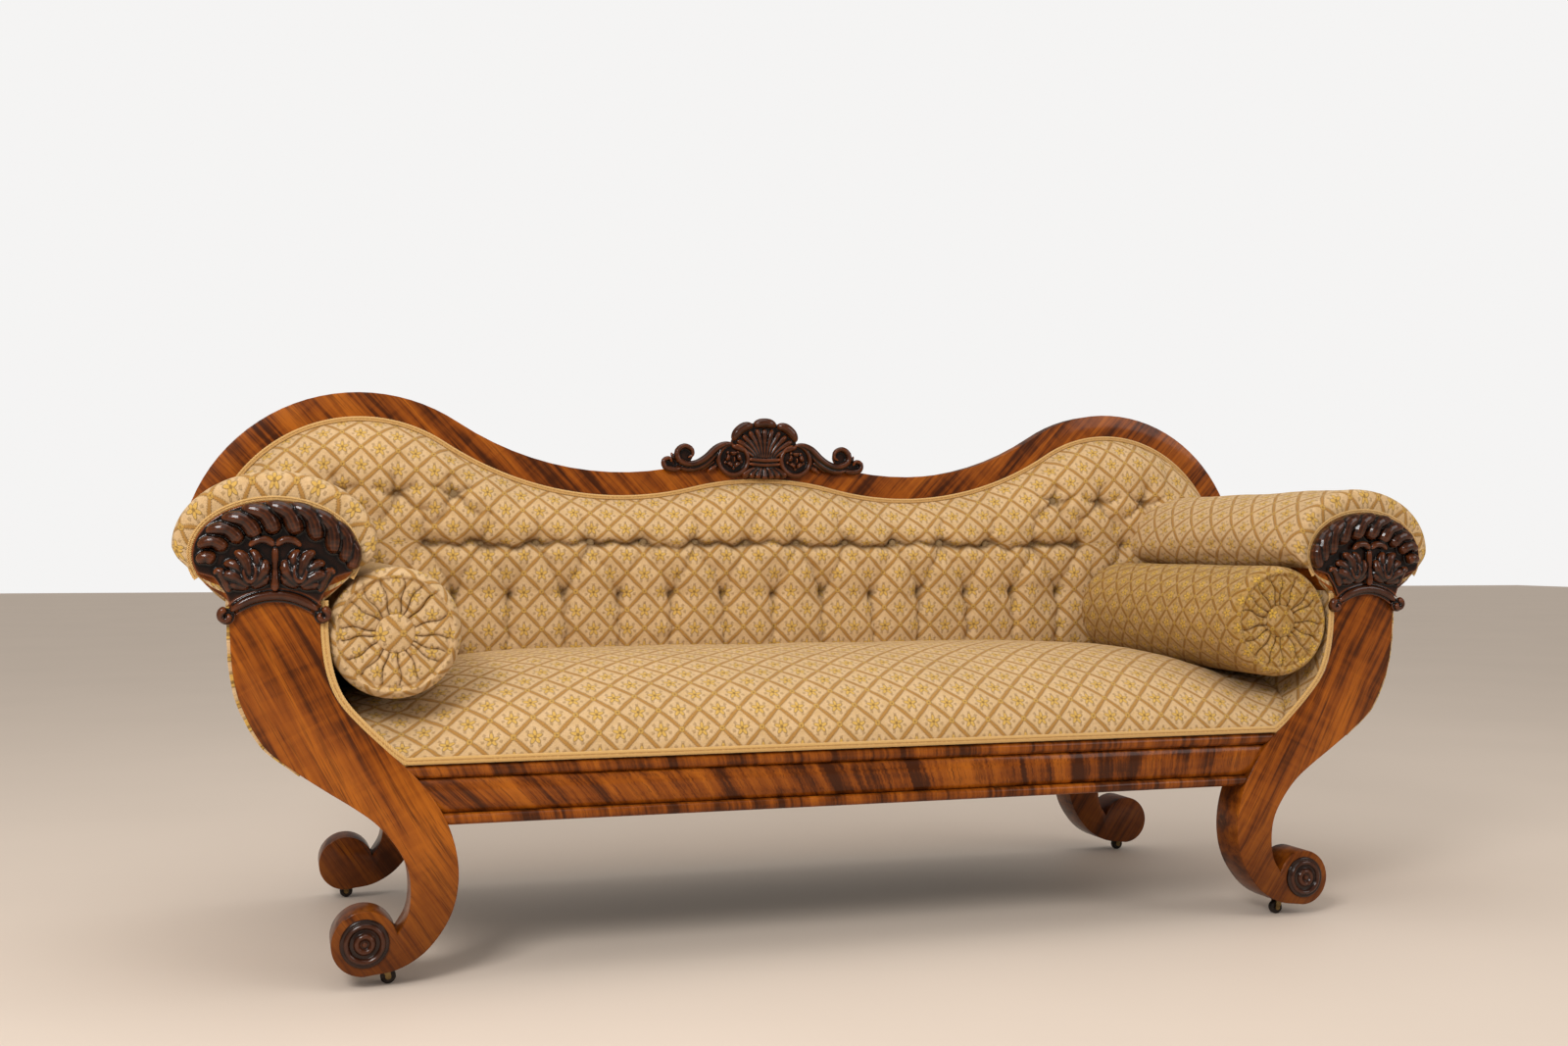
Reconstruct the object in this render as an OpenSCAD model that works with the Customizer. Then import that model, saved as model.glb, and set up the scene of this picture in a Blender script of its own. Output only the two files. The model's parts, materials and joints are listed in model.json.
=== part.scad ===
// Scroll-end settee with a serpentine show-wood back, carved arm facings and crest,
// sprung seat, buttoned back, two loose bolsters and four swivelling castors.
// Row frame: X along the length, -Y to the front, Z up, floor at Z = 0, origin midway
// between the extremes of length and depth. Millimetres.

/* [Overall] */
// Distance from the middle of the sofa to the middle of an end frame
end_x = 840; // [760:5:920]
// Front face of the front end planks
front_y = -335; // [-360:5:-320]
// Rear face of the rear end planks and crest rail
rear_y = 358; // [345:1:380]
// Thickness of a front end plank
front_plank = 68; // [55:1:75]
// Thickness of a rear end plank
rear_plank = 70; // [55:1:75]

/* [Back] */
// Height of the top of each hump of the crest rail
hump_z = 943; // [930:1:970]
// Height of the crest rail at its lowest
dip_z = 801; // [795:1:810]
// Height of the crest rail behind the carved shell
middle_z = 838; // [834:1:842]
// Width of the crest rail's polished face
crest_face = 55; // [45:1:60]
// Thickness of the crest rail
crest_t = 38; // [30:1:42]

/* [Seat] */
// Underside of the seat frame
frame_z = 240; // [235:1:250]
// Top of the seat frame
frame_top = 327; // [320:1:335]
// Height of the seat's crown
crown_z = 474; // [460:1:480]
// Columns of seat springs
spring_columns = 7; // [5:1:7]
// Rows of seat springs
spring_rows = 3; // [2:1:3]

/* [Bolsters] */
// Radius of a bolster
bolster_r = 99; // [85:1:99]
// Length of a bolster
bolster_l = 572; // [450:2:576]
// Number of gathered folds in a bolster's end
end_folds = 14; // [10:1:20]

/* [Castors] */
// Radius of a castor wheel
wheel_r = 11.5; // [10:0.5:11.5]
// Width of a castor wheel
wheel_w = 11; // [9:0.5:11]
// Trail of a wheel behind its swivel
trail = 6; // [4:0.5:6]

/* [Hidden] */

$fn = 48;
fine = 72;
carve = 10; // facets round a carved lobe

walnut = [0.42, 0.20, 0.08];
dark_wood = [0.20, 0.09, 0.05];
beech = [0.72, 0.55, 0.36];
cloth = [0.78, 0.64, 0.42];
gimp = [0.85, 0.68, 0.38];
jute = [0.62, 0.50, 0.33];
black_cloth = [0.10, 0.09, 0.09];
steel = [0.45, 0.44, 0.42];
brass = [0.32, 0.24, 0.12];
ceramic = [0.07, 0.05, 0.04];

front_back_y = front_y + front_plank; // rear face of a front plank
rear_front_y = rear_y - rear_plank;   // front face of a rear plank
crest_y = rear_y - crest_t;           // front face of the crest rail
pad_y = 246;                          // flat front of the back upholstery
cloth_t = 5;                          // cloth wrapped on a plank's edge
proud = 27;                           // how far the arm carving stands out
outside_t = 4;                        // outside back cover

// ---- curves -------------------------------------------------------------

// One point of a Catmull-Rom span
function span_at(a, b, c, d, t) =
    0.5 * ((2 * b) + (c - a) * t + (2 * a - 5 * b + 4 * c - d) * t * t
        + (3 * b - a - 3 * c + d) * t * t * t);
// A smooth curve through the points, with n steps a span
function curve(p, n = 5) = let (last = len(p) - 1) concat(
    [for (i = [0:last - 1], k = [0:n - 1])
        span_at(p[max(i - 1, 0)], p[i], p[i + 1], p[min(i + 2, last)], k / n)],
    [p[last]]);
// An arc of an ellipse from angle a to angle b
function arc(c, rx, rz, a, b, n = 16) =
    [for (i = [0:n]) let (t = a + (b - a) * i / n) [c[0] + rx * cos(t), c[1] + rz * sin(t)]];
function shifted(p, dx) = [for (q = p) [q[0] + dx, q[1]]];
function backwards(p) = [for (i = [len(p) - 1:-1:0]) p[i]];
function flipped(p) = [for (i = [len(p) - 1:-1:0]) [-p[i][0], p[i][1]]];
function between(p, lo, hi) = [for (q = p) if (q[1] >= lo && q[1] <= hi) q];

// ---- the S-shaped end frame, seen from the front, right-hand side -------

foot_r = 48;
foot = [end_x - 28, 68];
head = [end_x + 102, 642];
head_rx = 114;
head_rz = 78;
roll = [end_x + 100, 655];
roll_rx = 145;
roll_top = 110;
roll_under = 52;

outer_edge = shifted(curve([[165, 575], [163, 520], [158, 465], [145, 418], [116, 364],
    [75, 328], [30, 296], [-12, 268], [-45, 242], [-72, 209], [-89, 176], [-94, 140],
    [-90, 106], [-75, 80]]), end_x);
inner_edge = shifted(curve([[38, 575], [37, 520], [29, 468], [12, 427], [-20, 389],
    [-60, 350], [-100, 311], [-131, 270], [-152, 228], [-163, 182], [-163, 140],
    [-153, 102], [-133, 69], [-108, 44], [-75, 27], [-40, 21.5]]), end_x);

plank_outline = concat(
    arc(head, head_rx, head_rz, 215, -35, 40),
    outer_edge,
    arc(foot, foot_r, foot_r, 160, -90, 40),
    backwards(inner_edge));

roll_outline = concat(
    arc(roll, roll_rx, roll_top, 180, 0, 36),
    arc(roll, roll_rx, roll_under, 0, -180, 30));

// ---- the crest rail's serpentine line -----------------------------------

hump_r = 323;
hump = [end_x - 55, hump_z - hump_r];
dip_x = 300;
dip_h = dip_z - hump[1];
dip_r = (pow(hump[0] - dip_x, 2) + dip_h * dip_h - hump_r * hump_r) / (2 * (hump_r - dip_h));
dip = [dip_x, dip_z + dip_r];
middle_h = dip[1] - middle_z;
middle_r = (dip_x * dip_x + middle_h * middle_h - dip_r * dip_r) / (2 * (dip_r - middle_h));
middle = [0, middle_z - middle_r];
hump_turn = atan2(dip[1] - hump[1], dip[0] - hump[0]);
middle_turn = atan2(dip[1] - middle[1], dip[0]);
crest_end = 12; // angle at which the rail runs out on the end plank

// Right half of the serpentine, set in by w from the top edge, outer end first
function half_crest(w, start = crest_end) = concat(
    arc(hump, hump_r - w, hump_r - w, start, hump_turn, 26),
    arc(dip, dip_r + w, dip_r + w, hump_turn - 180, middle_turn - 180, 12),
    arc(middle, middle_r - w, middle_r - w, middle_turn, 90, 5));
function whole(half) = concat(half, flipped(half));

// ---- small tools ---------------------------------------------------------

// Extrudes an XZ outline between two values of Y
module xz(y0, y1) {
    translate([0, y1, 0]) rotate([90, 0, 0]) linear_extrude(y1 - y0) children();
}
// Extrudes a YZ outline between two values of X
module yz(x0, x1) {
    translate([x0, 0, 0]) rotate([90, 0, 90]) linear_extrude(x1 - x0) children();
}
module both_ends() {
    children();
    mirror([1, 0, 0]) children();
}
module at_left() { mirror([1, 0, 0]) children(); }
// A box given by its lowest and highest corners
module block(lo, hi) { translate(lo) cube(hi - lo); }
// A cylinder along -Y from a point
module peg(x, y, z, r, h) { translate([x, y, z]) rotate([90, 0, 0]) cylinder(r = r, h = h); }
// A strip that follows an XZ curve, from dx0 to dx1 beside it
module strip(line, dx0, dx1) {
    polygon(concat(shifted(line, dx0), backwards(shifted(line, dx1))));
}

// ---- end planks ----------------------------------------------------------

front_castor = [end_x - 58, front_y + 34];
rear_castor = [end_x - 24, rear_y - 35];
pocket_r = 20;
pocket_top = 32;
dowel_r = 6;

socket_r = 7;
socket_top = 64;

module castor_pocket(place) {
    translate([place[0], place[1], 0]) {
        cylinder(r = pocket_r, h = pocket_top, $fn = fine);
        cylinder(r = socket_r, h = socket_top);
    }
}
module dowels(r) {
    for (y = [front_y + 33, rear_y - 36], z = [262, 302])
        translate([z == 262 ? 672 : 692, y, z]) rotate([0, 90, 0]) cylinder(r = r, h = 60);
}
module front_leg() {
    color(walnut) difference() {
        xz(front_y, front_back_y) polygon(plank_outline);
        castor_pocket(front_castor);
        dowels(dowel_r);
    }
}
module rear_leg() {
    color(walnut) difference() {
        xz(rear_front_y, rear_y) polygon(plank_outline);
        castor_pocket(rear_castor);
        dowels(dowel_r);
    }
}

// ---- carving on the arms -------------------------------------------------

// A tapered lobe of carving between two XZ points
module lobe(a, ra, b, rb, y) {
    hull() {
        translate([a[0], y, a[1]]) sphere(r = ra, $fn = carve);
        translate([b[0], y, b[1]]) sphere(r = rb, $fn = carve);
    }
}
neck = [end_x + 101.5, 491]; // centre of the collar's arch
gadroons = 11;
gadroon_turn = 214;
module arm_capital() {
    color(dark_wood) {
        // ground of the carving, arched over the collar
        xz(front_y - 10, front_y) polygon(concat(
            arc(head, head_rx - 3, head_rz - 2, 200, -20, 40),
            [[end_x + 186, 610], [end_x + 171, 590]],
            arc(neck, 99, 99, 52, 128, 16),
            [[end_x + 32, 590], [end_x + 18, 610]]));
        // gadroons fan from short at the outer end to long at the inner end
        for (i = [0:gadroons - 1]) let (
            s = i / (gadroons - 1),
            a = -16 + gadroon_turn * s,
            lean = a - 24 * sin(180 * s) - 6,
            size = 8.5 + 3.5 * s,
            tip = [head[0] + (head_rx - 12) * cos(a), head[1] + (head_rz - 11) * sin(a)],
            root = [head[0] + (head_rx - 36 - 12 * s) * cos(lean),
                    head[1] + 0.84 * (head_rz - 28 - 12 * s) * sin(lean)])
            lobe(tip, size, root, size - 2.5, front_y - 12.2);
        // two curling leaves side by side over a central rib
        for (side = [-1, 1]) for (k = [0:3]) let (
            c = [head[0] + side * 34, 626],
            a = 90 + side * (66 - 44 * k))
            lobe([c[0] + 10 * cos(a), c[1] + 10 * sin(a)], 7,
                 [c[0] + 27 * cos(a), c[1] + 24 * sin(a)], 4.5, front_y - 12);
        lobe([head[0], 604], 5, [head[0], 664], 7, front_y - 13);
        peg(head[0], front_y - 8, 664, 5, proud - 8);
    }
}
module arm_collar() {
    color(dark_wood) {
        xz(front_y - 12, front_y) polygon(concat(
            arc(neck, 98, 98, 50, 130, 20), arc(neck, 85, 85, 130, 50, 20)));
        for (side = [-1, 1]) {
            peg(neck[0] + side * 66, front_y, 553, 14, 12);
            peg(neck[0] + side * 66, front_y - 11, 553, 6, 5);
        }
    }
}

// Turned patera with a reeded edge, a ring and a centre boss
module foot_roundel() {
    translate([foot[0], front_y, foot[1] + 1]) rotate([90, 0, 0]) color(dark_wood)
        rotate_extrude($fn = fine) polygon(concat(
            [[0, 0], [36, 0], [36, 2]],
            arc([33, 3], 3, 3, 0, 90, 4), [[30, 3]],
            arc([26, 3], 4, 5, 0, 180, 8), [[20, 3], [17, 4]],
            arc([10, 5], 6, 4, 0, 180, 8), [[3, 3]],
            [[3, 7], [0, 8]]));
}

// ---- seat frame ----------------------------------------------------------

rail_back_y = front_y + 60;
bead_x = 900; // longer than the gap, then cut to the planks

// Cuts its children to the gap between the end planks
module between_planks(y0, y1) {
    difference() {
        children();
        both_ends() xz(y0, y1) polygon(plank_outline);
        both_ends() xz(y0, y1) translate([end_x - 80, 0]) square([400, frame_top + 8]);
        both_ends() xz(y0, y1) translate([end_x + 25, frame_top]) square([400, 400]);
    }
}
module front_seat_rail() {
    color(beech) difference() {
        between_planks(front_y - 1, front_back_y)
            block([-bead_x, front_y + 16, frame_z], [bead_x, rail_back_y, frame_top]);
        both_ends() dowels(dowel_r);
    }
}
// A moulding with a rounded nose, run along the front rail
module bead(z0, z1, y0) {
    h = z1 - z0;
    between_planks(front_y - 1, front_back_y) yz(-bead_x, bead_x) polygon(concat(
        [[front_y + 16, z0], [y0 + h / 2, z0]],
        arc([y0 + h / 2, z0 + h / 2], h / 2, h / 2, -90, -270, 14),
        [[y0 + h / 2, z1], [front_y + 16, z1]]));
}
module rail_top_bead() { color(walnut) bead(307, frame_top, front_y + 2); }
module rail_bottom_bead() { color(walnut) bead(frame_z - 4, frame_z + 13, front_y + 2); }
module rail_face_panel() {
    color(walnut) between_planks(front_y - 1, front_back_y) yz(-bead_x, bead_x) polygon(concat(
        [[front_y + 16, frame_z + 13]],
        arc([front_y + 16, 280], 11, 27, -90, -270, 20),
        [[front_y + 16, 307]]));
}
module rear_seat_rail() {
    color(beech) difference() {
        between_planks(rear_front_y - 1, rear_y + 1)
            block([-bead_x, rear_front_y + 2, frame_z], [bead_x, rear_y, frame_top]);
        both_ends() dowels(dowel_r);
    }
}
module end_seat_rails() {
    color(beech) both_ends()
        block([end_x - 84, front_back_y, 252], [end_x - 42, rear_front_y, 318]);
}
brace_x = 300;
module seat_cross_braces() {
    color(beech) both_ends()
        block([brace_x - 14, rail_back_y, frame_z + 8], [brace_x + 14, rear_front_y + 2, 284]);
}
module corner_blocks() {
    x = end_x - 84;
    color(beech) both_ends() for (end = [[front_back_y, 1], [rear_front_y, -1]])
        translate([0, 0, 258]) linear_extrude(52) polygon([
            [x, end[0]], [x - 56, end[0]], [x, end[0] + 56 * end[1]]]);
}
module rail_dowels() { color(beech) both_ends() dowels(dowel_r); }

// ---- back frame ----------------------------------------------------------

module crest_rail() {
    color(walnut) difference() {
        xz(crest_y, rear_y) polygon(concat(
            whole(half_crest(0)), backwards(whole(half_crest(crest_face + 12)))));
        both_ends() xz(crest_y - 1, rear_y + 1) polygon(plank_outline);
    }
}
post_x = [610, 205];
module posts() {
    intersection() {
        for (x = post_x) both_ends() block([x - 22, crest_y, frame_top], [x + 22, rear_y - 3, 900]);
        xz(crest_y, rear_y) polygon(concat(
            whole(half_crest(crest_face + 12)), [[-1040, 300], [1040, 300]]));
    }
}
module back_posts() { color(beech) posts(); }
module back_stuffing_rail() {
    color(beech) difference() {
        between_planks(rear_front_y, rear_y)
            block([-bead_x, crest_y, 424], [bead_x, rear_y - 6, 468]);
        posts();
    }
}

// ---- carved crest --------------------------------------------------------

carving_y = crest_y - 22;
rosette = [66, 830];
module crest_shell() {
    color(dark_wood) difference() {
        shell_carving();
        both_ends() peg(rosette[0], crest_y + 20, rosette[1], 32.3, 60);
    }
}
module shell_carving() {
    // fan of flutes with rolled tips
    for (i = [-3:3]) let (
        a = 90 - 21 * i,
        reach = 78 - 3.2 * abs(i),
        base = [4 * i, 836])
        lobe(base, 6, [base[0] + reach * cos(a) * 0.82, 824 + reach * sin(a)], 10, crest_y - 8);
    // ground behind the flutes
    xz(crest_y - 8, crest_y) polygon(concat(
        arc([0, 830], 66, 74, 0, 180, 24), [[-46, 800], [46, 800]]));
    xz(crest_y, crest_y + 14) polygon(concat(
        arc([0, 836], 64, 68, 10, 170, 24), backwards([for (p = whole(half_crest(0)))
            if (abs(p[0]) < 63) [p[0], p[1]]])));
    // tie band and the leaf that hangs below it
    xz(carving_y, crest_y - 7) polygon([[-30, 818], [30, 818], [28, 828], [-28, 828]]);
    for (i = [-2:2]) lobe([9 * i, 812], 5, [19 * i, 800 + 2 * abs(i)], 6.5, crest_y - 10);
}
module crest_scroll() {
    spine = curve([[92, 856], [104, 848], [122, 828], [143, 817], [162, 819]], 6);
    color(dark_wood) difference() {
        union() {
            peg(rosette[0], crest_y, rosette[1], 32, 18);
            xz(crest_y - 16, crest_y) polygon(concat(
                [for (p = spine) [p[0], p[1] + 7]], backwards([for (p = spine) [p[0], p[1] - 8]])));
            peg(161, crest_y, 833, 19, 18);
            peg(197, crest_y, 819, 11, 16);
            xz(crest_y - 12, crest_y) polygon([[168, 816], [196, 808], [198, 816], [176, 828]]);
        }
        peg(rosette[0], crest_y - 10, rosette[1], 24, 20);
    }
}
module crest_rosettes() {
    y = crest_y - 10;
    color(dark_wood) both_ends() {
        for (k = [0:4]) let (a = 90 + 72 * k)
            lobe([rosette[0] + 7 * cos(a), rosette[1] + 7 * sin(a)], 4,
                 [rosette[0] + 14 * cos(a), rosette[1] + 14 * sin(a)], 7, y - 7.2);
        peg(rosette[0], y, rosette[1], 5, 14);
    }
}

// ---- arm woodwork inside the upholstery ----------------------------------

module arm_core() { block([end_x + 55, front_back_y, 628], [end_x + 150, rear_front_y, 672]); }
module arm_top_rails() { color(beech) both_ends() arm_core(); }
module arm_tack_rails() {
    color(beech) both_ends()
        block([end_x + 12, front_back_y, 345], [end_x + 58, rear_front_y, 372]);
}

// ---- seat ----------------------------------------------------------------

strap_t = 1.6;
web_z = frame_z - 2 * strap_t;
module seat_webbing() {
    color(jute) {
        for (i = [-4:4])
            block([150 * i - 25, front_y + 20, web_z], [150 * i + 25, rear_y - 10, web_z + strap_t]);
        for (j = [-1.5:1.5])
            block([-690, 12 + 130 * j - 25, web_z + strap_t], [690, 12 + 130 * j + 25, frame_z]);
    }
}
spring_top = 398;
spring_turns = 4;
spring_steps = 7;
wire = 2.2;
// Waisted coil: the radius is least at half height
function spring_at(t) = let (r = 32 + 12 * pow(2 * t - 1, 2), a = 360 * spring_turns * t)
    [r * cos(a), r * sin(a), frame_z + wire + (spring_top - frame_z - 2 * wire) * t];
module spring() {
    n = spring_turns * spring_steps;
    points = [for (i = [0:n]) let (p = spring_at(i / n), a = 360 * spring_turns * i / n)
        for (k = [0:3]) let (b = 90 * k + 45)
            [p[0] + wire * cos(b) * cos(a), p[1] + wire * cos(b) * sin(a), p[2] + wire * sin(b)]];
    polyhedron(points, concat(
        [[3, 2, 1], [3, 1, 0], [4 * n, 4 * n + 1, 4 * n + 2], [4 * n, 4 * n + 2, 4 * n + 3]],
        [for (i = [0:n - 1], k = [0:3]) let (m = (k + 1) % 4, a = 4 * i, b = a + 4)
            each [[a + k, a + m, b + m], [a + k, b + m, b + k]]]));
}
module seat_springs() {
    gap = 1200 / (spring_columns - 1);
    rows = 170;
    color(steel) for (i = [0:spring_columns - 1], j = [0:spring_rows - 1])
        translate([gap * i - 600, -8 + rows * (j - (spring_rows - 1) / 2), 0]) spring();
}
well_x = 680;
well_y = [rail_back_y + 8, pad_y - 6];
module spring_hessian() {
    color(jute) block([-well_x, well_y[0], spring_top], [well_x, well_y[1], spring_top + 2]);
}
seat_half = concat(
    [[0, frame_top]],
    backwards(between(shifted(inner_edge, -cloth_t), frame_top, 424)),
    curve([[824, 421], [790, 419], [752, 423], [712, 436], [660, 452], [580, 464],
        [430, crown_z - 1], [200, crown_z], [0, crown_z]]));
module seat_pad() {
    color(cloth) difference() {
        intersection() {
            xz(front_y + 2, pad_y - 0.5) polygon(whole(seat_half));
            yz(-900, 900) polygon(concat(
                [[front_y, frame_top - 1], [front_y + 2, 344]],
                curve([[front_y + 3, 350], [front_y + 12, 370], [front_y + 38, 399],
                    [front_y + 90, 431], [front_y + 180, 460], [-50, crown_z],
                    [60, crown_z + 1], [170, 468], [pad_y, 458]]),
                [[pad_y, frame_top - 1]]));
        }
        block([-well_x, well_y[0], frame_top - 5], [well_x, well_y[1], spring_top + 2]);
    }
}
module bottom_cloth() {
    color(black_cloth)
        block([-670, front_y + 22, web_z - 1], [670, rear_y - 12, web_z]);
}

// ---- back upholstery -----------------------------------------------------

back_half = concat(
    between(shifted(backwards(inner_edge), -cloth_t), frame_top + 3, 575),
    [[end_x + 34, 588], [end_x + 60, 600], [end_x + 190, 604], [end_x + 212, 620]],
    half_crest(crest_face, 4));
button_z = [565, 662, 752];
// Buttons on the flat of the back, in staggered rows, and one row on each hump
button_rows = [
    [for (i = [-7:7]) [104 * i, button_z[0]]],
    [for (i = [-7.5:7.5]) [104 * i, button_z[1]]],
    [for (i = [6, 7, 8]) each [[-104 * i, button_z[2]], [104 * i, button_z[2]]]]];
module back_pad() {
    color(cloth) difference() {
        xz(pad_y, crest_y) polygon(whole(back_half));
        both_ends() xz(rear_front_y, rear_y) polygon(plank_outline);
        both_ends() arm_core();
        for (row = button_rows, p = row) peg(p[0], pad_y + 14, p[1], 12, 20);
    }
}
module back_buttons() {
    color(cloth) for (row = button_rows, p = row)
        translate([p[0], pad_y + 14, p[1]]) rotate([90, 0, 0])
            rotate_extrude($fn = 24) polygon(concat([[0, 0], [9, 0]], arc([0, 2], 9, 4, 0, 90, 5)));
}
module outside_back() {
    color(cloth) xz(rear_y, rear_y + outside_t) polygon(whole(concat(
        [[0, frame_z + 6]],
        between(shifted(backwards(inner_edge), -2), frame_z + 6, 575),
        [[end_x + 120, 610]],
        half_crest(26, 16))));
}

// ---- arm upholstery ------------------------------------------------------

module front_plank_space() { xz(front_y - 1, front_back_y) polygon(plank_outline); }
module arm_roll() {
    color(cloth) difference() {
        xz(front_y + 2, pad_y - 0.5) polygon(roll_outline);
        front_plank_space();
        arm_core();
    }
}
module inside_arm() {
    line = concat([[end_x + 38, 612]], between(inner_edge, frame_top + 3, 575));
    color(cloth) {
        xz(front_y + 2, front_back_y) difference() {
            strip(line, -cloth_t, 2);
            polygon(plank_outline);
            polygon(roll_outline);
        }
        xz(front_back_y, pad_y - 0.5) difference() {
            strip(line, -cloth_t, 30);
            polygon(roll_outline);
        }
    }
}
module outside_arm() {
    line = concat([[end_x + 165, 625]], between(outer_edge, 318, 575));
    color(cloth) xz(front_y + 5, rear_y - 8) difference() {
        strip(line, 0, 8);
        polygon(roll_outline);
        polygon(plank_outline);
    }
}

// ---- braids --------------------------------------------------------------

braid_t = 3;
module seat_braid() {
    y = front_y + 2;
    line = between(inner_edge, frame_top, 536);
    color(gimp) {
        both_ends() difference() {
            xz(y - braid_t, y) strip(line, -9, 0);
            front_plank_space();
            block([0, y - 9, 0], [end_x, y + 9, frame_top + 15]);
        }
        between_planks(front_y - 9, front_back_y)
            block([-end_x, y - braid_t, frame_top], [end_x, y, frame_top + 15]);
    }
}
module arm_braids() {
    y = front_y + 2;
    color(gimp) both_ends() difference() {
        xz(y - braid_t, y) polygon(concat(
            arc(head, head_rx + 7, head_rz + 7, 205, -25, 40),
            backwards(arc(head, head_rx, head_rz, 205, -25, 40))));
        front_plank_space();
    }
}
module back_braid() {
    color(gimp) xz(crest_y - braid_t, crest_y) polygon(concat(
        whole(half_crest(crest_face - 9, 34)),
        backwards(whole(half_crest(crest_face - 0.6, 34)))));
}

// ---- bolsters ------------------------------------------------------------

bolster = [end_x - 70, 525];
bolster_y = front_y + 2; // front end
end_dip = 8;
module bolster_body() {
    translate([bolster[0], bolster_y + bolster_l, bolster[1]]) rotate([90, 0, 0])
        color(cloth) rotate_extrude($fn = fine) polygon(concat(
            [[0, end_dip], [28.2, end_dip], [34, 1.5]],
            arc([bolster_r - 12, 12], 12, 12, -90, 0, 6),
            arc([bolster_r - 12, bolster_l - 12], 12, 12, 0, 90, 6),
            [[34, bolster_l - 1.5], [28.2, bolster_l - end_dip], [0, bolster_l - end_dip]]));
}
// Cloth-covered buttons that close the gathered ends
module bolster_buttons() {
    color(cloth) for (end = [[bolster_y + end_dip, 1], [bolster_y + bolster_l - end_dip, -1]])
        translate([bolster[0], end[0], bolster[1]]) rotate([90 * end[1], 0, 0])
            rotate_extrude($fn = fine) polygon(concat([[0, 0], [28, 0]],
                arc([20, 4], 8, 5, 0, 90, 6), [[0, 10]]));
}

// ---- castors -------------------------------------------------------------

pin_r = 3;
pin_gap = 0.05;
axle_r = 2;
plate = [29, pocket_top];
horn_top = 28.6;
horn_r = 9;
cheek = 2.4;
side_gap = 0.6;
screw_places = [0, 120, 240];

module castor_plates() {
    color(brass) both_ends() for (c = [front_castor, rear_castor])
        translate([c[0], c[1], 0]) difference() {
            union() {
                translate([0, 0, plate[0]]) cylinder(r = 17, h = plate[1] - plate[0], $fn = fine);
                translate([0, 0, plate[0]]) cylinder(r = socket_r, h = socket_top - plate[0]);
            }
            translate([0, 0, plate[0] - 1]) cylinder(r = pin_r + pin_gap, h = socket_top - plate[0] - 3);
            for (a = screw_places) rotate([0, 0, a + 60])
                translate([12, 0, plate[0] - 1]) cylinder(r = 1.6, h = 9, $fn = 24);
        }
}
module castor_screws() {
    color(brass) both_ends() for (c = [front_castor, rear_castor], a = screw_places)
        translate([c[0], c[1], 0]) rotate([0, 0, a + 60]) translate([12, 0, plate[0]])
            cylinder(r = 1.6, h = plate[1] - plate[0], $fn = 24);
}
// Horn with two cheeks, the swivel pin above it and the axle through it
module castor_fork(c) {
    half = wheel_w / 2 + side_gap;
    color(brass) translate([c[0], c[1], 0]) {
        translate([0, 0, wheel_r * 2 + 1.6]) cylinder(r = horn_r, h = horn_top - wheel_r * 2 - 1.6);
        translate([0, 0, horn_top - 1]) cylinder(r = pin_r, h = socket_top - 6 - horn_top);
        for (side = [-1, 1]) translate([0, side * (half + cheek / 2) + cheek / 2, 0])
            rotate([90, 0, 0]) linear_extrude(cheek) polygon(concat(
                arc([-trail, wheel_r], 4.5, 4.5, -200, 20, 14),
                [[5, horn_top - 2], [5, horn_top], [-7, horn_top]]));
        translate([-trail, half + cheek, wheel_r]) rotate([90, 0, 0])
            cylinder(r = axle_r, h = 2 * (half + cheek));
    }
}
module castor_wheel(c) {
    color(ceramic) translate([c[0] - trail, c[1], wheel_r]) rotate([90, 0, 0])
        rotate_extrude($fn = fine) polygon(concat(
            [[axle_r + pin_gap, -wheel_w / 2]],
            [[wheel_r - 2.5, -wheel_w / 2]],
            arc([wheel_r - 2.5, -wheel_w / 2 + 2.5], 2.5, 2.5, -90, 0, 5),
            arc([wheel_r - 2.5, wheel_w / 2 - 2.5], 2.5, 2.5, 0, 90, 5),
            [[axle_r + pin_gap, wheel_w / 2]]));
}

// ---- nodes ---------------------------------------------------------------

at_left() front_leg();  // front_leg_left
front_leg();  // front_leg_right
at_left() rear_leg();  // rear_leg_left
rear_leg();  // rear_leg_right
at_left() arm_capital();  // arm_capital_left
arm_capital();  // arm_capital_right
at_left() arm_collar();  // arm_collar_left
arm_collar();  // arm_collar_right
both_ends() foot_roundel();  // foot_roundels
front_seat_rail();
rail_top_bead();
rail_face_panel();
rail_bottom_bead();
rear_seat_rail();
end_seat_rails();
seat_cross_braces();
corner_blocks();
rail_dowels();
crest_rail();
back_posts();
back_stuffing_rail();
crest_shell();
at_left() crest_scroll();  // crest_scroll_left
crest_scroll();  // crest_scroll_right
crest_rosettes();
arm_top_rails();
arm_tack_rails();
seat_webbing();
seat_springs();
spring_hessian();
seat_pad();
bottom_cloth();
back_pad();
back_buttons();
outside_back();
at_left() arm_roll();  // arm_roll_left
arm_roll();  // arm_roll_right
at_left() inside_arm();  // inside_arm_left
inside_arm();  // inside_arm_right
at_left() outside_arm();  // outside_arm_left
outside_arm();  // outside_arm_right
seat_braid();
arm_braids();
back_braid();
at_left() bolster_body();  // bolster_left
bolster_body();  // bolster_right
at_left() bolster_buttons();  // bolster_buttons_left
bolster_buttons();  // bolster_buttons_right
castor_plates();
castor_screws();
at_left() castor_fork(front_castor);  // castor_fork_front_left
castor_fork(front_castor);  // castor_fork_front_right
at_left() castor_fork(rear_castor);  // castor_fork_rear_left
castor_fork(rear_castor);  // castor_fork_rear_right
at_left() castor_wheel(front_castor);  // castor_wheel_front_left
castor_wheel(front_castor);  // castor_wheel_front_right
at_left() castor_wheel(rear_castor);  // castor_wheel_rear_left
castor_wheel(rear_castor);  // castor_wheel_rear_right
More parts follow.
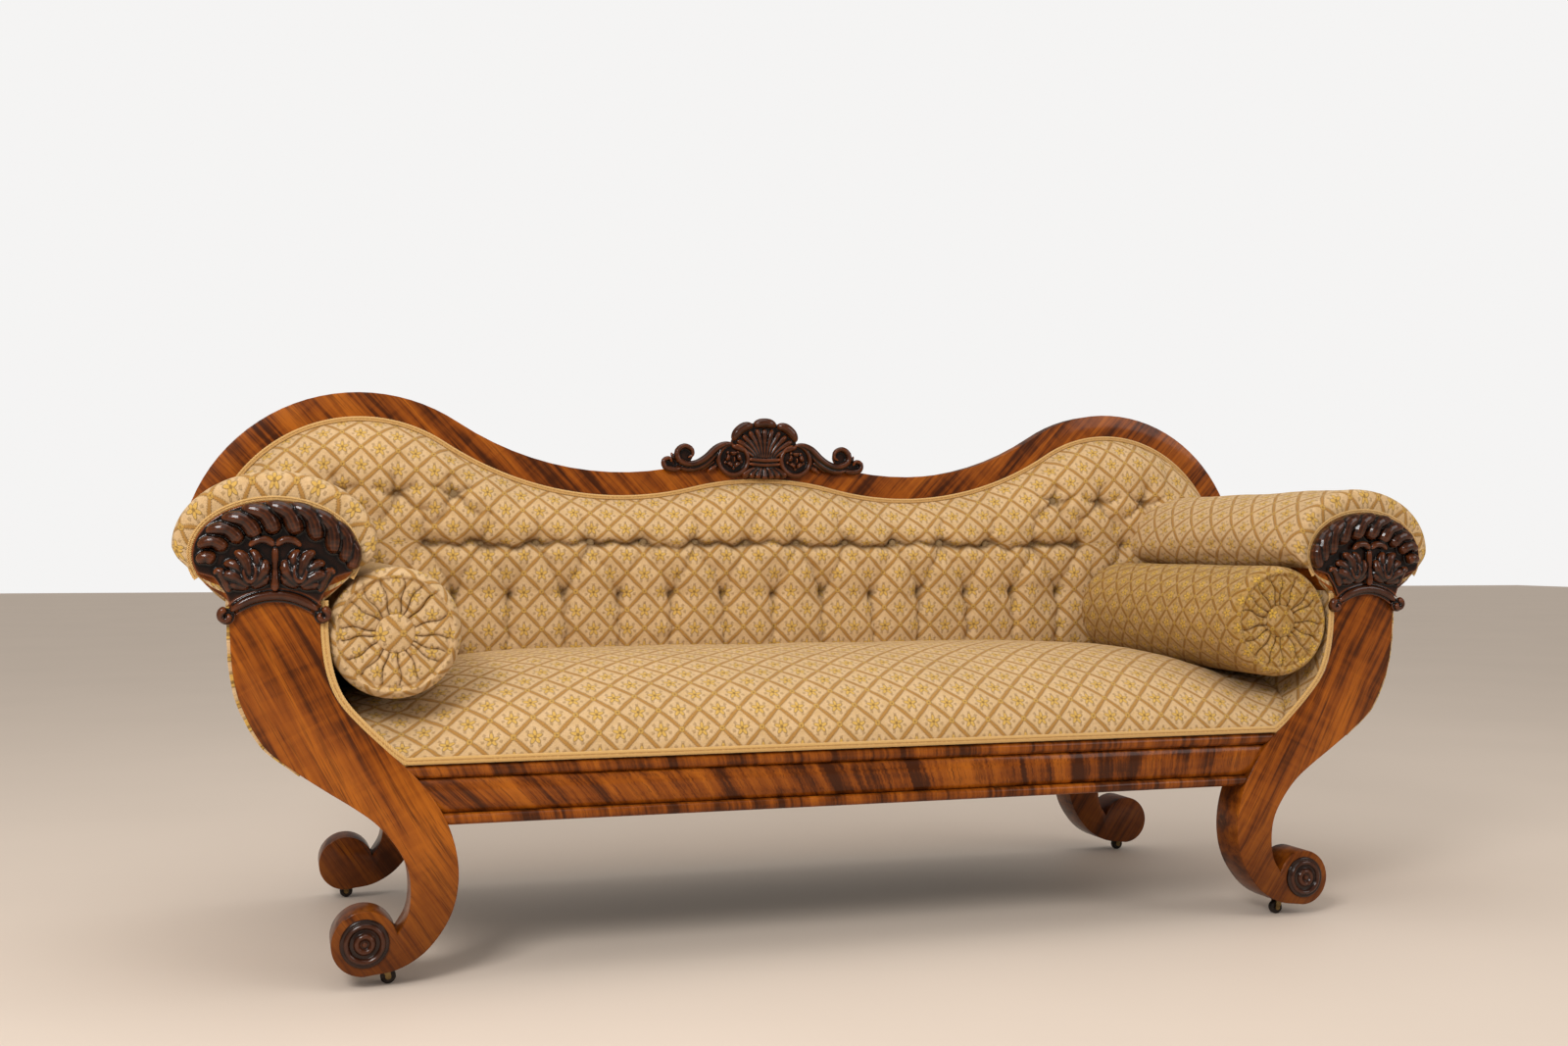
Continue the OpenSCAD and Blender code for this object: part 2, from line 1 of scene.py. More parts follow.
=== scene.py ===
"""A scroll-end sofa: polished S-shaped end planks, carved arm facings and crest, a sprung
and buttoned trellis-pattern cover, two bolsters and four castors, built round a fixed frame."""

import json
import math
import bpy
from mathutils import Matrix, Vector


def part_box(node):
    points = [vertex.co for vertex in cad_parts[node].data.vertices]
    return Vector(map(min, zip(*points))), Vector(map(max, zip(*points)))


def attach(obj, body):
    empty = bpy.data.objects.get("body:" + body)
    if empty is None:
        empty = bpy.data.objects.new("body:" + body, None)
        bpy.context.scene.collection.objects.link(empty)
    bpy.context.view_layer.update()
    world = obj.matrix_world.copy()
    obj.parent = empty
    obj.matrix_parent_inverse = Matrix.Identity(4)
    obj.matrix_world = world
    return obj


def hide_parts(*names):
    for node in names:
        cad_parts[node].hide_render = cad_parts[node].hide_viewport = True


bl_info = {
    "name": "Scroll-end sofa",
    "version": (1, 0, 0),
    "blender": (4, 5, 0),
    "location": "View3D > Sidebar > Sofa",
    "description": "Finishes a scroll-end sofa with its show wood, carving, covers and castors",
    "category": "Object",
}

from contextlib import contextmanager

import bpy
import numpy as np
from bpy.props import FloatProperty, FloatVectorProperty, IntProperty, PointerProperty
from mathutils import Matrix, Vector, noise

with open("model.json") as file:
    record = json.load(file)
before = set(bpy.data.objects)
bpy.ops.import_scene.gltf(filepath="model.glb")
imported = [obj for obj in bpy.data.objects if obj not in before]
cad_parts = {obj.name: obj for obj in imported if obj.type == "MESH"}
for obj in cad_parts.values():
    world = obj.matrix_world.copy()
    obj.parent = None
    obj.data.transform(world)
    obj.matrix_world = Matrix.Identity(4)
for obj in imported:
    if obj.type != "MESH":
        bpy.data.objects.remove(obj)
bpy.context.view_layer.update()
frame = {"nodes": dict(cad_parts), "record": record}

MM = 0.001
WELD = 0.02 * MM
SIDES = {"left": -1, "right": 1}
CORNERS = [f"{end}_{side}" for end in ("front", "rear") for side in SIDES]


# ---- sizes taken from the frame --------------------------------------------------------

def low(node):
    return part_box(node)[0]


def high(node):
    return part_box(node)[1]


END_X = (low("front_leg_right").x + high("front_leg_right").x) / 2 - 26 * MM
FRONT_Y = low("front_leg_right").y
CREST_Y = low("crest_rail").y
CREST_TOP = high("crest_rail").z
PAD_Y = low("back_pad").y
SEAT_FRONT_Y = low("seat_pad").y
SEAT_BASE_Z = low("seat_pad").z
SEAT_CROWN_Z = high("seat_pad").z
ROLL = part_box("arm_roll_right")
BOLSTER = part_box("bolster_right")
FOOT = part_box("foot_roundels")
UPPER_BUTTONS_Z = 662 * MM


# ---- settings ----------------------------------------------------------------------------

def colour(label, text, default):
    return FloatVectorProperty(name=label, description=text, default=default,
                               subtype="COLOR", size=4, min=0.0, max=1.0)


def length(label, text, default):
    return FloatProperty(name=label, description=text, default=default,
                         unit="LENGTH", subtype="DISTANCE", min=0.0)


class SofaWoodSettings(bpy.types.PropertyGroup):
    """Colours of the polished and carved wood."""
    light: colour("Light figure", "Palest streaks of the polished wood", (0.335, 0.090, 0.006, 1))
    middle: colour("Middle figure", "Main colour of the polished wood", (0.185, 0.042, 0.003, 1))
    dark: colour("Dark figure", "Darkest streaks of the polished wood", (0.034, 0.008, 0.0015, 1))
    carved: colour("Carving", "High points of the dark carving", (0.190, 0.046, 0.010, 1))
    # the hollows' near-black colour is the carving's dark wood deepened with painted shade
    recess: colour("Carving recess", "Hollows of the dark carving", (0.004, 0.0015, 0.001, 1))


class SofaClothSettings(bpy.types.PropertyGroup):
    """Colours and pattern size of the covers."""
    cell: length("Trellis width", "Width of one diamond of the trellis", 66 * MM)
    ground: colour("Ground", "Colour between the trellis lines", (0.545, 0.355, 0.170, 1))
    line: colour("Trellis", "Colour of the trellis lines", (0.36, 0.175, 0.038, 1))
    petal: colour("Petals", "Colour of the sprigs", (0.55, 0.325, 0.070, 1))
    leaf: colour("Leaves", "Colour of the sprigs' leaves and outlines", (0.185, 0.100, 0.030, 1))
    braid: colour("Braid", "Colour of the gimp braid", (0.72, 0.46, 0.155, 1))
    pleats: IntProperty(name="End pleats", description="Gathered pleats in a bolster's end",
                        default=17, min=8, max=30)
    button_pitch: length("Button pitch", "Distance between buttons in a row", 104 * MM)


class SofaStageSettings(bpy.types.PropertyGroup):
    """The floor, lights and camera."""
    floor: colour("Floor", "Colour of the floor", (0.66, 0.55, 0.455, 1))
    key_power: FloatProperty(name="Key light", description="Power of the main softbox in watts",
                             default=125, min=0, unit="POWER")
    lens: FloatProperty(name="Lens", description="Focal length in millimetres",
                        default=36.46, min=10, unit="CAMERA")


def wood():
    return bpy.context.scene.sofa_wood


def cloth():
    return bpy.context.scene.sofa_cloth


# ---- curves --------------------------------------------------------------------------------

def smooth_curve(points, per_span=6):
    """A Catmull-Rom curve through the points."""
    p = np.array(points, float)
    out = []
    for i in range(len(p) - 1):
        a, b, c, d = p[max(i - 1, 0)], p[i], p[i + 1], p[min(i + 2, len(p) - 1)]
        for k in range(per_span):
            t = k / per_span
            out.append(0.5 * (2 * b + (c - a) * t + (2 * a - 5 * b + 4 * c - d) * t ** 2
                              + (3 * b - a - 3 * c + d) * t ** 3))
    return np.array(out + [p[-1]])


def run_length(points):
    """How far each point is along a line."""
    return np.concatenate([[0], np.cumsum(np.linalg.norm(np.diff(points, axis=0), axis=1))])


def resampled(points, count):
    """The curve with its points spaced evenly."""
    p = np.asarray(points, float)
    run = run_length(p)
    at = np.linspace(0, run[-1], count)
    return np.stack([np.interp(at, run, p[:, k]) for k in range(p.shape[1])], 1)


def ramp(distance, width):
    """Rises evenly from 0 to 1 over a width, and stays level before and after it."""
    return np.clip(distance / width, 0, 1)


def ellipse(cx, cz, rx, rz, start, stop, count):
    t = np.radians(np.linspace(start, stop, count))
    return np.stack([cx + rx * np.cos(t), cz + rz * np.sin(t)], 1)


# The S-shaped end plank, in the XZ plane of the right-hand end
OUTER_EDGE = smooth_curve([(165, 575), (163, 520), (158, 465), (145, 418), (116, 364),
                           (75, 328), (30, 296), (-12, 268), (-45, 242), (-72, 209),
                           (-89, 176), (-94, 140), (-90, 106), (-75, 80)]) * MM + [END_X, 0]
INNER_EDGE = smooth_curve([(38, 575), (37, 520), (29, 468), (12, 427), (-20, 389),
                           (-60, 350), (-100, 311), (-131, 270), (-152, 228), (-163, 182),
                           (-163, 140), (-153, 102), (-133, 69), (-108, 44), (-75, 27),
                           (-40, 21.5)]) * MM + [END_X, 0]
HEAD = (END_X + 102 * MM, 642 * MM)
HEAD_R = (114 * MM, 78 * MM)


def edge_x(edge, z):
    """Where a plank's edge is at a height."""
    order = np.argsort(edge[:, 1])
    return np.interp(z, edge[order, 1], edge[order, 0])


# The crest rail's serpentine: a hump, a dip and a low rise in the middle, as tangent arcs
HUMP_R = 323 * MM
HUMP = (END_X - 55 * MM, CREST_TOP - HUMP_R)
DIP_X, DIP_Z, MIDDLE_Z = 300 * MM, 801 * MM, 838 * MM
_rise = DIP_Z - HUMP[1]
DIP_R = ((HUMP[0] - DIP_X) ** 2 + _rise ** 2 - HUMP_R ** 2) / (2 * (HUMP_R - _rise))
DIP = (DIP_X, DIP_Z + DIP_R)
_fall = DIP[1] - MIDDLE_Z
MIDDLE_R = (DIP_X ** 2 + _fall ** 2 - DIP_R ** 2) / (2 * (DIP_R - _fall))
MIDDLE = (0.0, MIDDLE_Z - MIDDLE_R)
CREST_FACE = 55 * MM


def crest_half(inset):
    """Right half of the serpentine, set in from the top edge, from the middle outwards."""
    hump_turn = math.degrees(math.atan2(DIP[1] - HUMP[1], DIP[0] - HUMP[0]))
    middle_turn = math.degrees(math.atan2(DIP[1] - MIDDLE[1], DIP[0]))
    outer = ellipse(*HUMP, HUMP_R - inset, HUMP_R - inset, 0, hump_turn, 60)
    dip = ellipse(*DIP, DIP_R + inset, DIP_R + inset, hump_turn - 180, middle_turn - 180, 30)
    rise = ellipse(*MIDDLE, MIDDLE_R - inset, MIDDLE_R - inset, middle_turn, 90, 12)
    return np.concatenate([outer, dip[1:], rise[1:]])[::-1]


def crest_z(x, inset):
    half = crest_half(inset)
    return np.interp(np.abs(x), half[:, 0], half[:, 1])


# ---- mesh helpers --------------------------------------------------------------------------

def deselect():
    bpy.ops.object.select_all(action="DESELECT")


def only(*pieces):
    """Selects these pieces alone, the first one active."""
    deselect()
    for piece in pieces:
        piece.select_set(True)
    bpy.context.view_layer.objects.active = pieces[0]


@contextmanager
def editing(piece):
    """Edit mode on this piece alone, with all of it selected."""
    only(piece)
    bpy.ops.object.mode_set(mode="EDIT")
    bpy.ops.mesh.select_mode(type="VERT")
    bpy.ops.mesh.select_all(action="SELECT")
    yield
    bpy.ops.mesh.select_all(action="DESELECT")
    bpy.ops.object.mode_set(mode="OBJECT")


def points_of(piece):
    co = np.empty(len(piece.data.vertices) * 3)
    piece.data.vertices.foreach_get("co", co)
    return co.reshape(-1, 3)


def move_points(piece, co):
    piece.data.vertices.foreach_set("co", np.asarray(co, float).ravel())
    piece.data.update()


def new_piece(name, points, faces):
    mesh = bpy.data.meshes.new(name)
    mesh.from_pydata([tuple(p) for p in points], [], faces)
    piece = bpy.data.objects.new(name, mesh)
    bpy.context.scene.collection.objects.link(piece)
    return piece


def surface(name, grid, uv, around=False, flip=False):
    """A sheet of quads over a grid of points, with its cloth measured out in the UV map."""
    nu, nv = grid.shape[:2]
    faces, corners = [], []
    for i in range(nu if around else nu - 1):
        j = (i + 1) % nu
        for k in range(nv - 1):
            quad = [(i, k), (j, k), (j, k + 1), (i, k + 1)]
            wide = [(i, k), (i + 1, k), (i + 1, k + 1), (i, k + 1)]
            if flip:
                quad.reverse()
                wide.reverse()
            faces.append([a * nv + b for a, b in quad])
            corners += wide
    piece = new_piece(name, grid.reshape(-1, 3), faces)
    layer = piece.data.uv_layers.new(name="cloth")
    at = np.array(corners)
    layer.data.foreach_set("uv", uv[at[:, 0], at[:, 1]].astype(float).ravel())
    return piece


def mirrored(grid, side):
    """The grid of the right-hand piece, or its mirror image for the left-hand one."""
    return grid * np.array([side, 1, 1])


def close_openings(piece):
    """Fills every open edge loop, so that the form is closed."""
    with editing(piece):
        bpy.ops.mesh.remove_doubles(threshold=WELD)
        bpy.ops.mesh.select_all(action="SELECT")
        bpy.ops.mesh.fill_holes(sides=0)


def face_outwards(piece):
    with editing(piece):
        bpy.ops.mesh.normals_make_consistent(inside=False)


def smooth(piece, degrees=None):
    only(piece)
    if degrees is None:
        bpy.ops.object.shade_smooth()
    else:
        bpy.ops.object.shade_smooth_by_angle(angle=math.radians(degrees))


def modified(piece, kind, **values):
    """Adds a modifier, sets it and applies it."""
    only(piece)
    modifier = piece.modifiers.new(kind.lower(), kind)
    for key, value in values.items():
        setattr(modifier, key, value)
    bpy.ops.object.modifier_apply(modifier=modifier.name)


def joined(name, pieces):
    only(*pieces)
    if len(pieces) > 1:
        bpy.ops.object.join()
    piece = bpy.context.view_layer.objects.active
    piece.name = name
    piece.data.name = name
    return piece


def settled(piece):
    """Puts a piece's place into its mesh."""
    only(piece)
    bpy.ops.object.transform_apply(location=True, rotation=True, scale=True)
    return piece


def mirror_copy(piece, name):
    """A mirror image of a piece, with its own mesh."""
    twin = piece.copy()
    twin.data = piece.data.copy()
    twin.name = name
    twin.data.name = name
    bpy.context.scene.collection.objects.link(twin)
    move_points(twin, points_of(twin) * [-1, 1, 1])
    with editing(twin):
        bpy.ops.mesh.flip_normals()
    smooth(twin)
    return twin


def copied(node, name):
    """A clean copy of a frame node's mesh, ready for bevelling."""
    piece = bpy.data.objects.new(name, frame["nodes"][node].data.copy())
    bpy.context.scene.collection.objects.link(piece)
    piece.data.name = name
    with editing(piece):
        bpy.ops.mesh.remove_doubles(threshold=WELD)
        bpy.ops.mesh.dissolve_limited(angle_limit=math.radians(0.4))
    return piece


def eased(piece, width, degrees=35):
    """Rounds the sharp edges over, as a maker's sandpaper does."""
    modified(piece, "BEVEL", width=width, segments=3, limit_method="ANGLE",
             angle_limit=math.radians(degrees), harden_normals=False)
    smooth(piece, degrees)


def store(piece, name, values, kind="FLOAT"):
    """Stores a value or a vector at every point, for a material to read."""
    layer = piece.data.attributes.new(name, kind, "POINT")
    key = "vector" if kind == "FLOAT_VECTOR" else "value"
    layer.data.foreach_set(key, values.astype(float).ravel())


def flat_cloth(piece):
    """Measures a piece's cloth straight out of the XZ plane."""
    layers = piece.data.uv_layers
    layer = layers[0] if layers else layers.new()
    layer.name = "cloth"
    index = np.empty(len(piece.data.loops), int)
    piece.data.loops.foreach_get("vertex_index", index)
    layer.data.foreach_set("uv", points_of(piece)[index][:, [0, 2]].ravel())


def paint(piece, material):
    piece.data.materials.clear()
    piece.data.materials.append(material)


def finish_piece(piece, material, body="frame", nodes=()):
    paint(piece, material)
    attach(piece, body)
    if nodes:
        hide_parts(*nodes)


def domes(name, places, radius, segments, rings, squash, tilt=0.0):
    """Flattened balls at several places, as one piece."""
    balls = []
    deselect()
    for place in places:
        bpy.ops.mesh.primitive_uv_sphere_add(segments=segments, ring_count=rings, radius=radius,
                                             location=place, rotation=(tilt, 0, 0))
        ball = bpy.context.object
        ball.scale = squash
        balls.append(settled(ball))
    return joined(name, balls)


def ripple(co, size, seed=0.0):
    """Smooth noise from -1 to 1 over points, at a feature size in metres."""
    shift = Vector((seed * 7.3, seed * 3.1, seed * 5.7))
    return np.array([noise.noise(Vector(p) / size + shift) for p in co])


# ---- shader helpers -------------------------------------------------------------------------

class Value:
    """A socket in a node tree that can be added, multiplied and so on with Math nodes."""

    def __init__(self, graph, socket):
        self.graph = graph
        self.socket = socket

    def __add__(self, other):
        return self.graph.math("ADD", self, other)

    def __radd__(self, other):
        return self.graph.math("ADD", other, self)

    def __sub__(self, other):
        return self.graph.math("SUBTRACT", self, other)

    def __mul__(self, other):
        return self.graph.math("MULTIPLY", self, other)

    def __truediv__(self, other):
        return self.graph.math("DIVIDE", self, other)

    def __rtruediv__(self, other):
        return self.graph.math("DIVIDE", other, self)

    def __pow__(self, other):
        return self.graph.math("POWER", self, other)

    def __abs__(self):
        return self.graph.math("ABSOLUTE", self)


class Graph:
    """Short names for adding and linking shader nodes."""

    def __init__(self, tree):
        self.tree = tree

    def set(self, socket, value):
        """Links a socket to a value from another node, or gives it a constant."""
        if isinstance(value, Value):
            value = value.socket
        if isinstance(value, bpy.types.NodeSocket):
            self.tree.links.new(value, socket)
        else:
            socket.default_value = value

    def fill(self, node, values):
        for key, value in values.items():
            self.set(node.inputs[key], value)

    def add(self, kind, inputs=None, **settings):
        node = self.tree.nodes.new("ShaderNode" + kind)
        for key, value in settings.items():
            setattr(node, key, value)
        self.fill(node, inputs or {})
        return node

    def math(self, operation, *values, clamp=False):
        node = self.add("Math", dict(enumerate(values)), operation=operation, use_clamp=clamp)
        return Value(self, node.outputs[0])

    def step(self, value, start, stop):
        """Goes smoothly from 0 at start to 1 at stop."""
        node = self.add("MapRange", {"Value": value, "From Min": start, "From Max": stop},
                        interpolation_type="SMOOTHSTEP")
        return Value(self, node.outputs[0])

    def mix(self, amount, a, b, blend="MIX"):
        node = self.add("Mix", data_type="RGBA", blend_type=blend)
        self.fill(node, {"Factor": amount, 6: a, 7: b})
        return node.outputs[2]

    def noise(self, vector, scale, detail=3.0, roughness=0.5, distortion=0.0):
        node = self.add("TexNoise", {"Vector": vector, "Scale": scale, "Detail": detail,
                                     "Roughness": roughness, "Distortion": distortion})
        return Value(self, node.outputs[0])

    def stretched(self, vector, scale, shift=(0, 0, 0)):
        return self.add("Mapping", {"Vector": vector, "Location": shift,
                                    "Scale": scale}).outputs[0]

    def split(self, vector):
        return [Value(self, part) for part in self.add("SeparateXYZ", {0: vector}).outputs]

    def stored(self, name):
        return Value(self, self.add("Attribute", attribute_name=name).outputs["Fac"])

    def place(self):
        return self.add("TexCoord").outputs["Object"]

    def cloth_place(self):
        return self.add("UVMap", uv_map="cloth").outputs[0]


def group(name, kinds):
    """An empty node group that gives a colour, a roughness and a height, with its graph and
    its sockets. kinds says what each input is."""
    tree = bpy.data.node_groups.new(name, "ShaderNodeTree")
    for label, kind in kinds.items():
        tree.interface.new_socket(label, in_out="INPUT", socket_type="NodeSocket" + kind)
    for label, kind in (("Color", "Color"), ("Roughness", "Float"), ("Height", "Float")):
        tree.interface.new_socket(label, in_out="OUTPUT", socket_type="NodeSocket" + kind)
    graph = Graph(tree)
    sources = tree.nodes.new("NodeGroupInput").outputs
    given = {label: Value(graph, sources[label]) for label in kinds}
    return graph, given, tree.nodes.new("NodeGroupOutput")


def wood_figure():
    """Streaked, figured wood: broad dark bands, fine lines, pores and a faint cross ripple."""
    if "wood figure" in bpy.data.node_groups:
        return bpy.data.node_groups["wood figure"]
    g, given, out = group("wood figure", {
        "Vector": "Vector", "Light": "Color", "Middle": "Color", "Dark": "Color",
        "Band Width": "Float", "Darkness": "Float"})
    grain, dark = given["Vector"], given["Dark"]
    per_band = 1.0 / given["Band Width"]
    x, y, z = g.split(grain)
    band_at = g.add("CombineXYZ", {0: x * (per_band * 0.11), 1: y * per_band,
                                   2: z * (per_band * 0.6)}).outputs[0]
    band = g.noise(band_at, 1.0, 3.0, 0.55, 0.35)
    streak = g.noise(g.stretched(band_at, (1.6, 5.5, 5.5), (3, 1, 2)), 1.0, 4.0, 0.6, 0.15)
    fine = g.noise(g.stretched(grain, (9, 210, 210), (1, 5, 3)), 1.0, 3.0, 0.6)
    hair = g.noise(g.stretched(grain, (14, 620, 620)), 1.0, 2.0, 0.5)
    curl = g.noise(g.stretched(grain, (55, 9, 9)), 1.0, 1.0, 0.5, 0.8)
    cloud = g.noise(grain, 4.5, 2.0, 0.5)
    tone = band * 0.62 + streak * 0.38 + (curl - 0.5) * 0.10 + (cloud - 0.5) * 0.16
    tone = tone - given["Darkness"] * 0.12
    pore = g.step(hair, 0.60, 0.68)
    shade = g.mix(g.step(tone, 0.40, 0.60), given["Middle"], given["Light"])
    shade = g.mix(g.step(tone, 0.455, 0.32) * 0.92, shade, dark)
    shade = g.mix(g.step(fine, 0.52, 0.70) * 0.50, shade, dark)
    g.fill(out, {"Color": g.mix(pore * 0.55, shade, dark),
                 "Roughness": 0.27 + g.noise(grain, 38.0, 3.0) * 0.16,
                 "Height": streak * 0.12 - pore * 0.3})
    return bpy.data.node_groups["wood figure"]


def trellis_weave():
    """A diamond trellis of leafy lines with a flower at each crossing and a sprig in each cell."""
    if "trellis weave" in bpy.data.node_groups:
        return bpy.data.node_groups["trellis weave"]
    g, given, out = group("trellis weave", {
        "Vector": "Vector", "Cell": "Float", "Ground": "Color", "Line": "Color",
        "Petal": "Color", "Leaf": "Color"})
    at, ground, leaf = given["Vector"], given["Ground"], given["Leaf"]
    wobble = g.noise(at, 60.0, 2.0)
    nap = g.noise(at, 1500.0, 2.0, 0.7)
    pile = g.noise(at, 330.0, 3.0, 0.65)
    across, up, _ = g.split(at)
    u = across / given["Cell"]
    v = up / (given["Cell"] * 1.06)
    push = (wobble - 0.5) * 0.05
    a = u + v + push
    b = u - v - push
    to_a = g.math("PINGPONG", a, 0.5)
    to_b = g.math("PINGPONG", b, 0.5)

    def distance(x, y):
        return g.math("SQRT", x ** 2.0 + y ** 2.0)

    def leafy_line(off, along, margin):
        teeth = g.math("SINE", along * 88.0) * 0.013
        half = (0.052 + margin) + along * 0.05 + teeth
        return g.step(off, half, half - 0.024)

    def trellis(margin=0.0):
        return g.math("MAXIMUM", leafy_line(to_a, to_b, margin), leafy_line(to_b, to_a, margin))

    lines = trellis()
    edging = trellis(0.032)
    knot = distance(to_a, to_b)
    knot_flower = g.step(knot, 0.120, 0.085)
    knot_eye = g.step(knot, 0.040, 0.024)

    # the sprig, round the middle of each diamond
    cell_a = g.math("FRACT", a) - 0.5
    cell_b = g.math("FRACT", b) - 0.5
    x = (cell_a + cell_b) * 0.5
    y = (cell_a - cell_b) * 0.5 + 0.02
    r = distance(abs(x), abs(y))
    turn = g.math("ARCTAN2", x, y)
    five = g.math("COSINE", turn * 5.0)
    seven = g.math("COSINE", turn * 7.0)
    petal_r = 0.135 + five * 0.050
    petal = g.step(r, petal_r, petal_r - 0.022)
    outline = g.math("SUBTRACT", g.step(r, petal_r + 0.032, petal_r), petal, clamp=True)
    leaves = g.step(r, 0.165, 0.190) * g.step(r, 0.265, 0.235) * g.step(seven, 0.25, 0.70)
    eye = g.step(r, 0.048, 0.030)
    veins = petal * g.step(five, -0.55, -0.85)
    dots = g.math("MAXIMUM", g.math("MAXIMUM", eye, knot_eye), veins * 0.7)

    shade = g.mix(g.step(wobble, 0.35, 0.65), ground, g.mix(0.25, ground, (0.66, 0.47, 0.30, 1)))
    for amount, colour_over in ((g.step(r, 0.16, 0.44) * 0.16, given["Line"]),
                                (edging * 0.34, leaf), (outline * 0.55, leaf),
                                (leaves * 0.42, leaf), (lines * 0.92, given["Line"]),
                                (knot_flower * 0.60, given["Petal"]),
                                (petal * 0.92, given["Petal"]), (dots * 0.8, leaf)):
        shade = g.mix(amount, shade, colour_over)
    speck = 0.55 + (nap + pile * 1.3) * 0.40
    wear = 0.88 + g.noise(at, 7.0, 3.0) * 0.24
    light = speck * wear
    tint = g.add("CombineColor", {0: light, 1: light, 2: light}).outputs[0]
    raised = lines * 0.55 + petal * 0.75 + leaves * 0.45 + knot_flower * 0.4
    g.fill(out, {"Color": g.mix(1.0, shade, tint, "MULTIPLY"),
                 "Roughness": 0.78 + nap * 0.18,
                 "Height": raised + (nap * 0.35 + pile * 0.60)})
    return bpy.data.node_groups["trellis weave"]


def blank_material(name):
    """A new material, its graph and its Principled shader."""
    material = bpy.data.materials.new(name)
    material.use_nodes = True
    return material, Graph(material.node_tree), material.node_tree.nodes["Principled BSDF"]


def bump(g, shader, height, distance, strength=1.0):
    node = g.add("Bump", {"Height": height, "Distance": distance, "Strength": strength})
    g.set(shader.inputs["Normal"], node.outputs[0])


def polished_wood(name, band, darkness):
    """Polished veneer along each piece's own grain, darker towards the floor."""
    if name in bpy.data.materials:
        return bpy.data.materials[name]
    material, g, shader = blank_material(name)
    figure = g.add("Group", node_tree=wood_figure())
    dark = tuple(wood().dark)
    g.fill(figure, {"Vector": g.add("Attribute", attribute_name="grain").outputs["Vector"],
                    "Light": tuple(wood().light), "Middle": tuple(wood().middle), "Dark": dark,
                    "Band Width": band, "Darkness": darkness})
    # the wood is mixed towards its dark figure colour towards the floor
    darkening = g.step(g.split(g.place())[2], 0.26, 0.02) * 0.62
    g.fill(shader, {"Base Color": g.mix(darkening, figure.outputs["Color"], dark),
                    "Roughness": figure.outputs["Roughness"], "Coat Weight": 0.22,
                    "Coat Roughness": 0.10, "Specular IOR Level": 0.08})
    bump(g, shader, figure.outputs["Height"], 0.25 * MM, 0.6)
    return material


def carved_wood(name="carved mahogany", lift_by=1.0):
    """Near-black polished wood, redder and worn on its high points, with painted shade in its
    hollows.
    """
    if name in bpy.data.materials:
        return bpy.data.materials[name]
    material, g, shader = blank_material(name)
    at = g.place()
    mottle = g.noise(at, 45.0, 4.0, 0.6)
    # painted shade and wear: near black in the hollows, where shade falls, to red-brown on the worn
    # high points
    lift = g.math("ADD", g.stored("wear_and_shade"), (mottle - 0.5) * 0.5, clamp=True) ** 1.7
    high_point = tuple(min(1, c * lift_by) for c in wood().carved[:3]) + (1,)
    g.fill(shader, {"Base Color": g.mix(lift, tuple(wood().recess), high_point),
                    "Roughness": 0.22 + g.noise(at, 160.0, 2.0) * 0.14, "Coat Weight": 0.40,
                    "Coat Roughness": 0.10, "Specular IOR Level": 0.15})
    bump(g, shader, g.noise(g.stretched(at, (500, 500, 60)), 1.0, 2.0), 0.12 * MM, 0.5)
    return material


def trellis_cloth(name="trellis cover", golden=0.0):
    """The figured cover, measured out by each piece's own UV map. golden, from 0 to 1, makes
    it denser and more golden, as on the right-hand bolster."""
    if name in bpy.data.materials:
        return bpy.data.materials[name]
    material, g, shader = blank_material(name)
    weave = g.add("Group", node_tree=trellis_weave())
    tone = cloth()

    def richer(c, target):
        return tuple(c[i] + (target[i] - c[i]) * golden for i in range(3)) + (1,)

    g.fill(weave, {"Vector": g.cloth_place(), "Cell": tone.cell * (1 - 0.22 * golden),
                   "Ground": richer(tone.ground, (0.345, 0.182, 0.030)),
                   "Line": richer(tone.line, (0.24, 0.100, 0.009)),
                   "Petal": richer(tone.petal, (0.56, 0.32, 0.045)),
                   "Leaf": richer(tone.leaf, (0.16, 0.10, 0.02))})
    # painted shade in the creases and pleats: the cover is mixed towards dark brown where the
    # stored fold depth is deep
    darkening = g.step(g.stored("fold"), 0.30, 1.0) * 0.75
    g.fill(shader, {"Base Color": g.mix(darkening, weave.outputs["Color"], (0.10, 0.045, 0.012, 1)),
                    "Roughness": weave.outputs["Roughness"], "Sheen Weight": 0.12,
                    "Sheen Roughness": 0.45, "Sheen Tint": (1.0, 0.85, 0.6, 1),
                    "Specular IOR Level": 0.15})
    bump(g, shader, weave.outputs["Height"], 2.2 * MM)
    return material


def gimp_braid():
    """Shiny gold thread, plaited."""
    if "gimp braid" in bpy.data.materials:
        return bpy.data.materials["gimp braid"]
    material, g, shader = blank_material("gimp braid")
    at = g.cloth_place()
    wave = g.add("TexWave", {"Vector": at, "Scale": 190.0, "Distortion": 3.0, "Detail": 1.0},
                 bands_direction="DIAGONAL")
    thread = Value(g, wave.outputs["Fac"])
    fleck = g.noise(at, 700.0, 2.0)
    broken = g.noise(g.stretched(at, (1, 0.2, 1)), 240.0, 1.0)
    middle = g.step(abs(g.split(at)[1]), 1.8 * MM, 0.6 * MM) * g.step(broken, 0.40, 0.55)
    pale = tuple(cloth().braid)
    deep = (pale[0] * 0.55, pale[1] * 0.40, pale[2] * 0.22, 1)
    plait = g.mix((thread + fleck) * 0.5, deep, pale)
    g.fill(shader, {"Base Color": g.mix(middle * 0.8, plait, deep), "Roughness": 0.62,
                    "Sheen Weight": 0.3})
    bump(g, shader, thread, 0.7 * MM, 0.8)
    return material


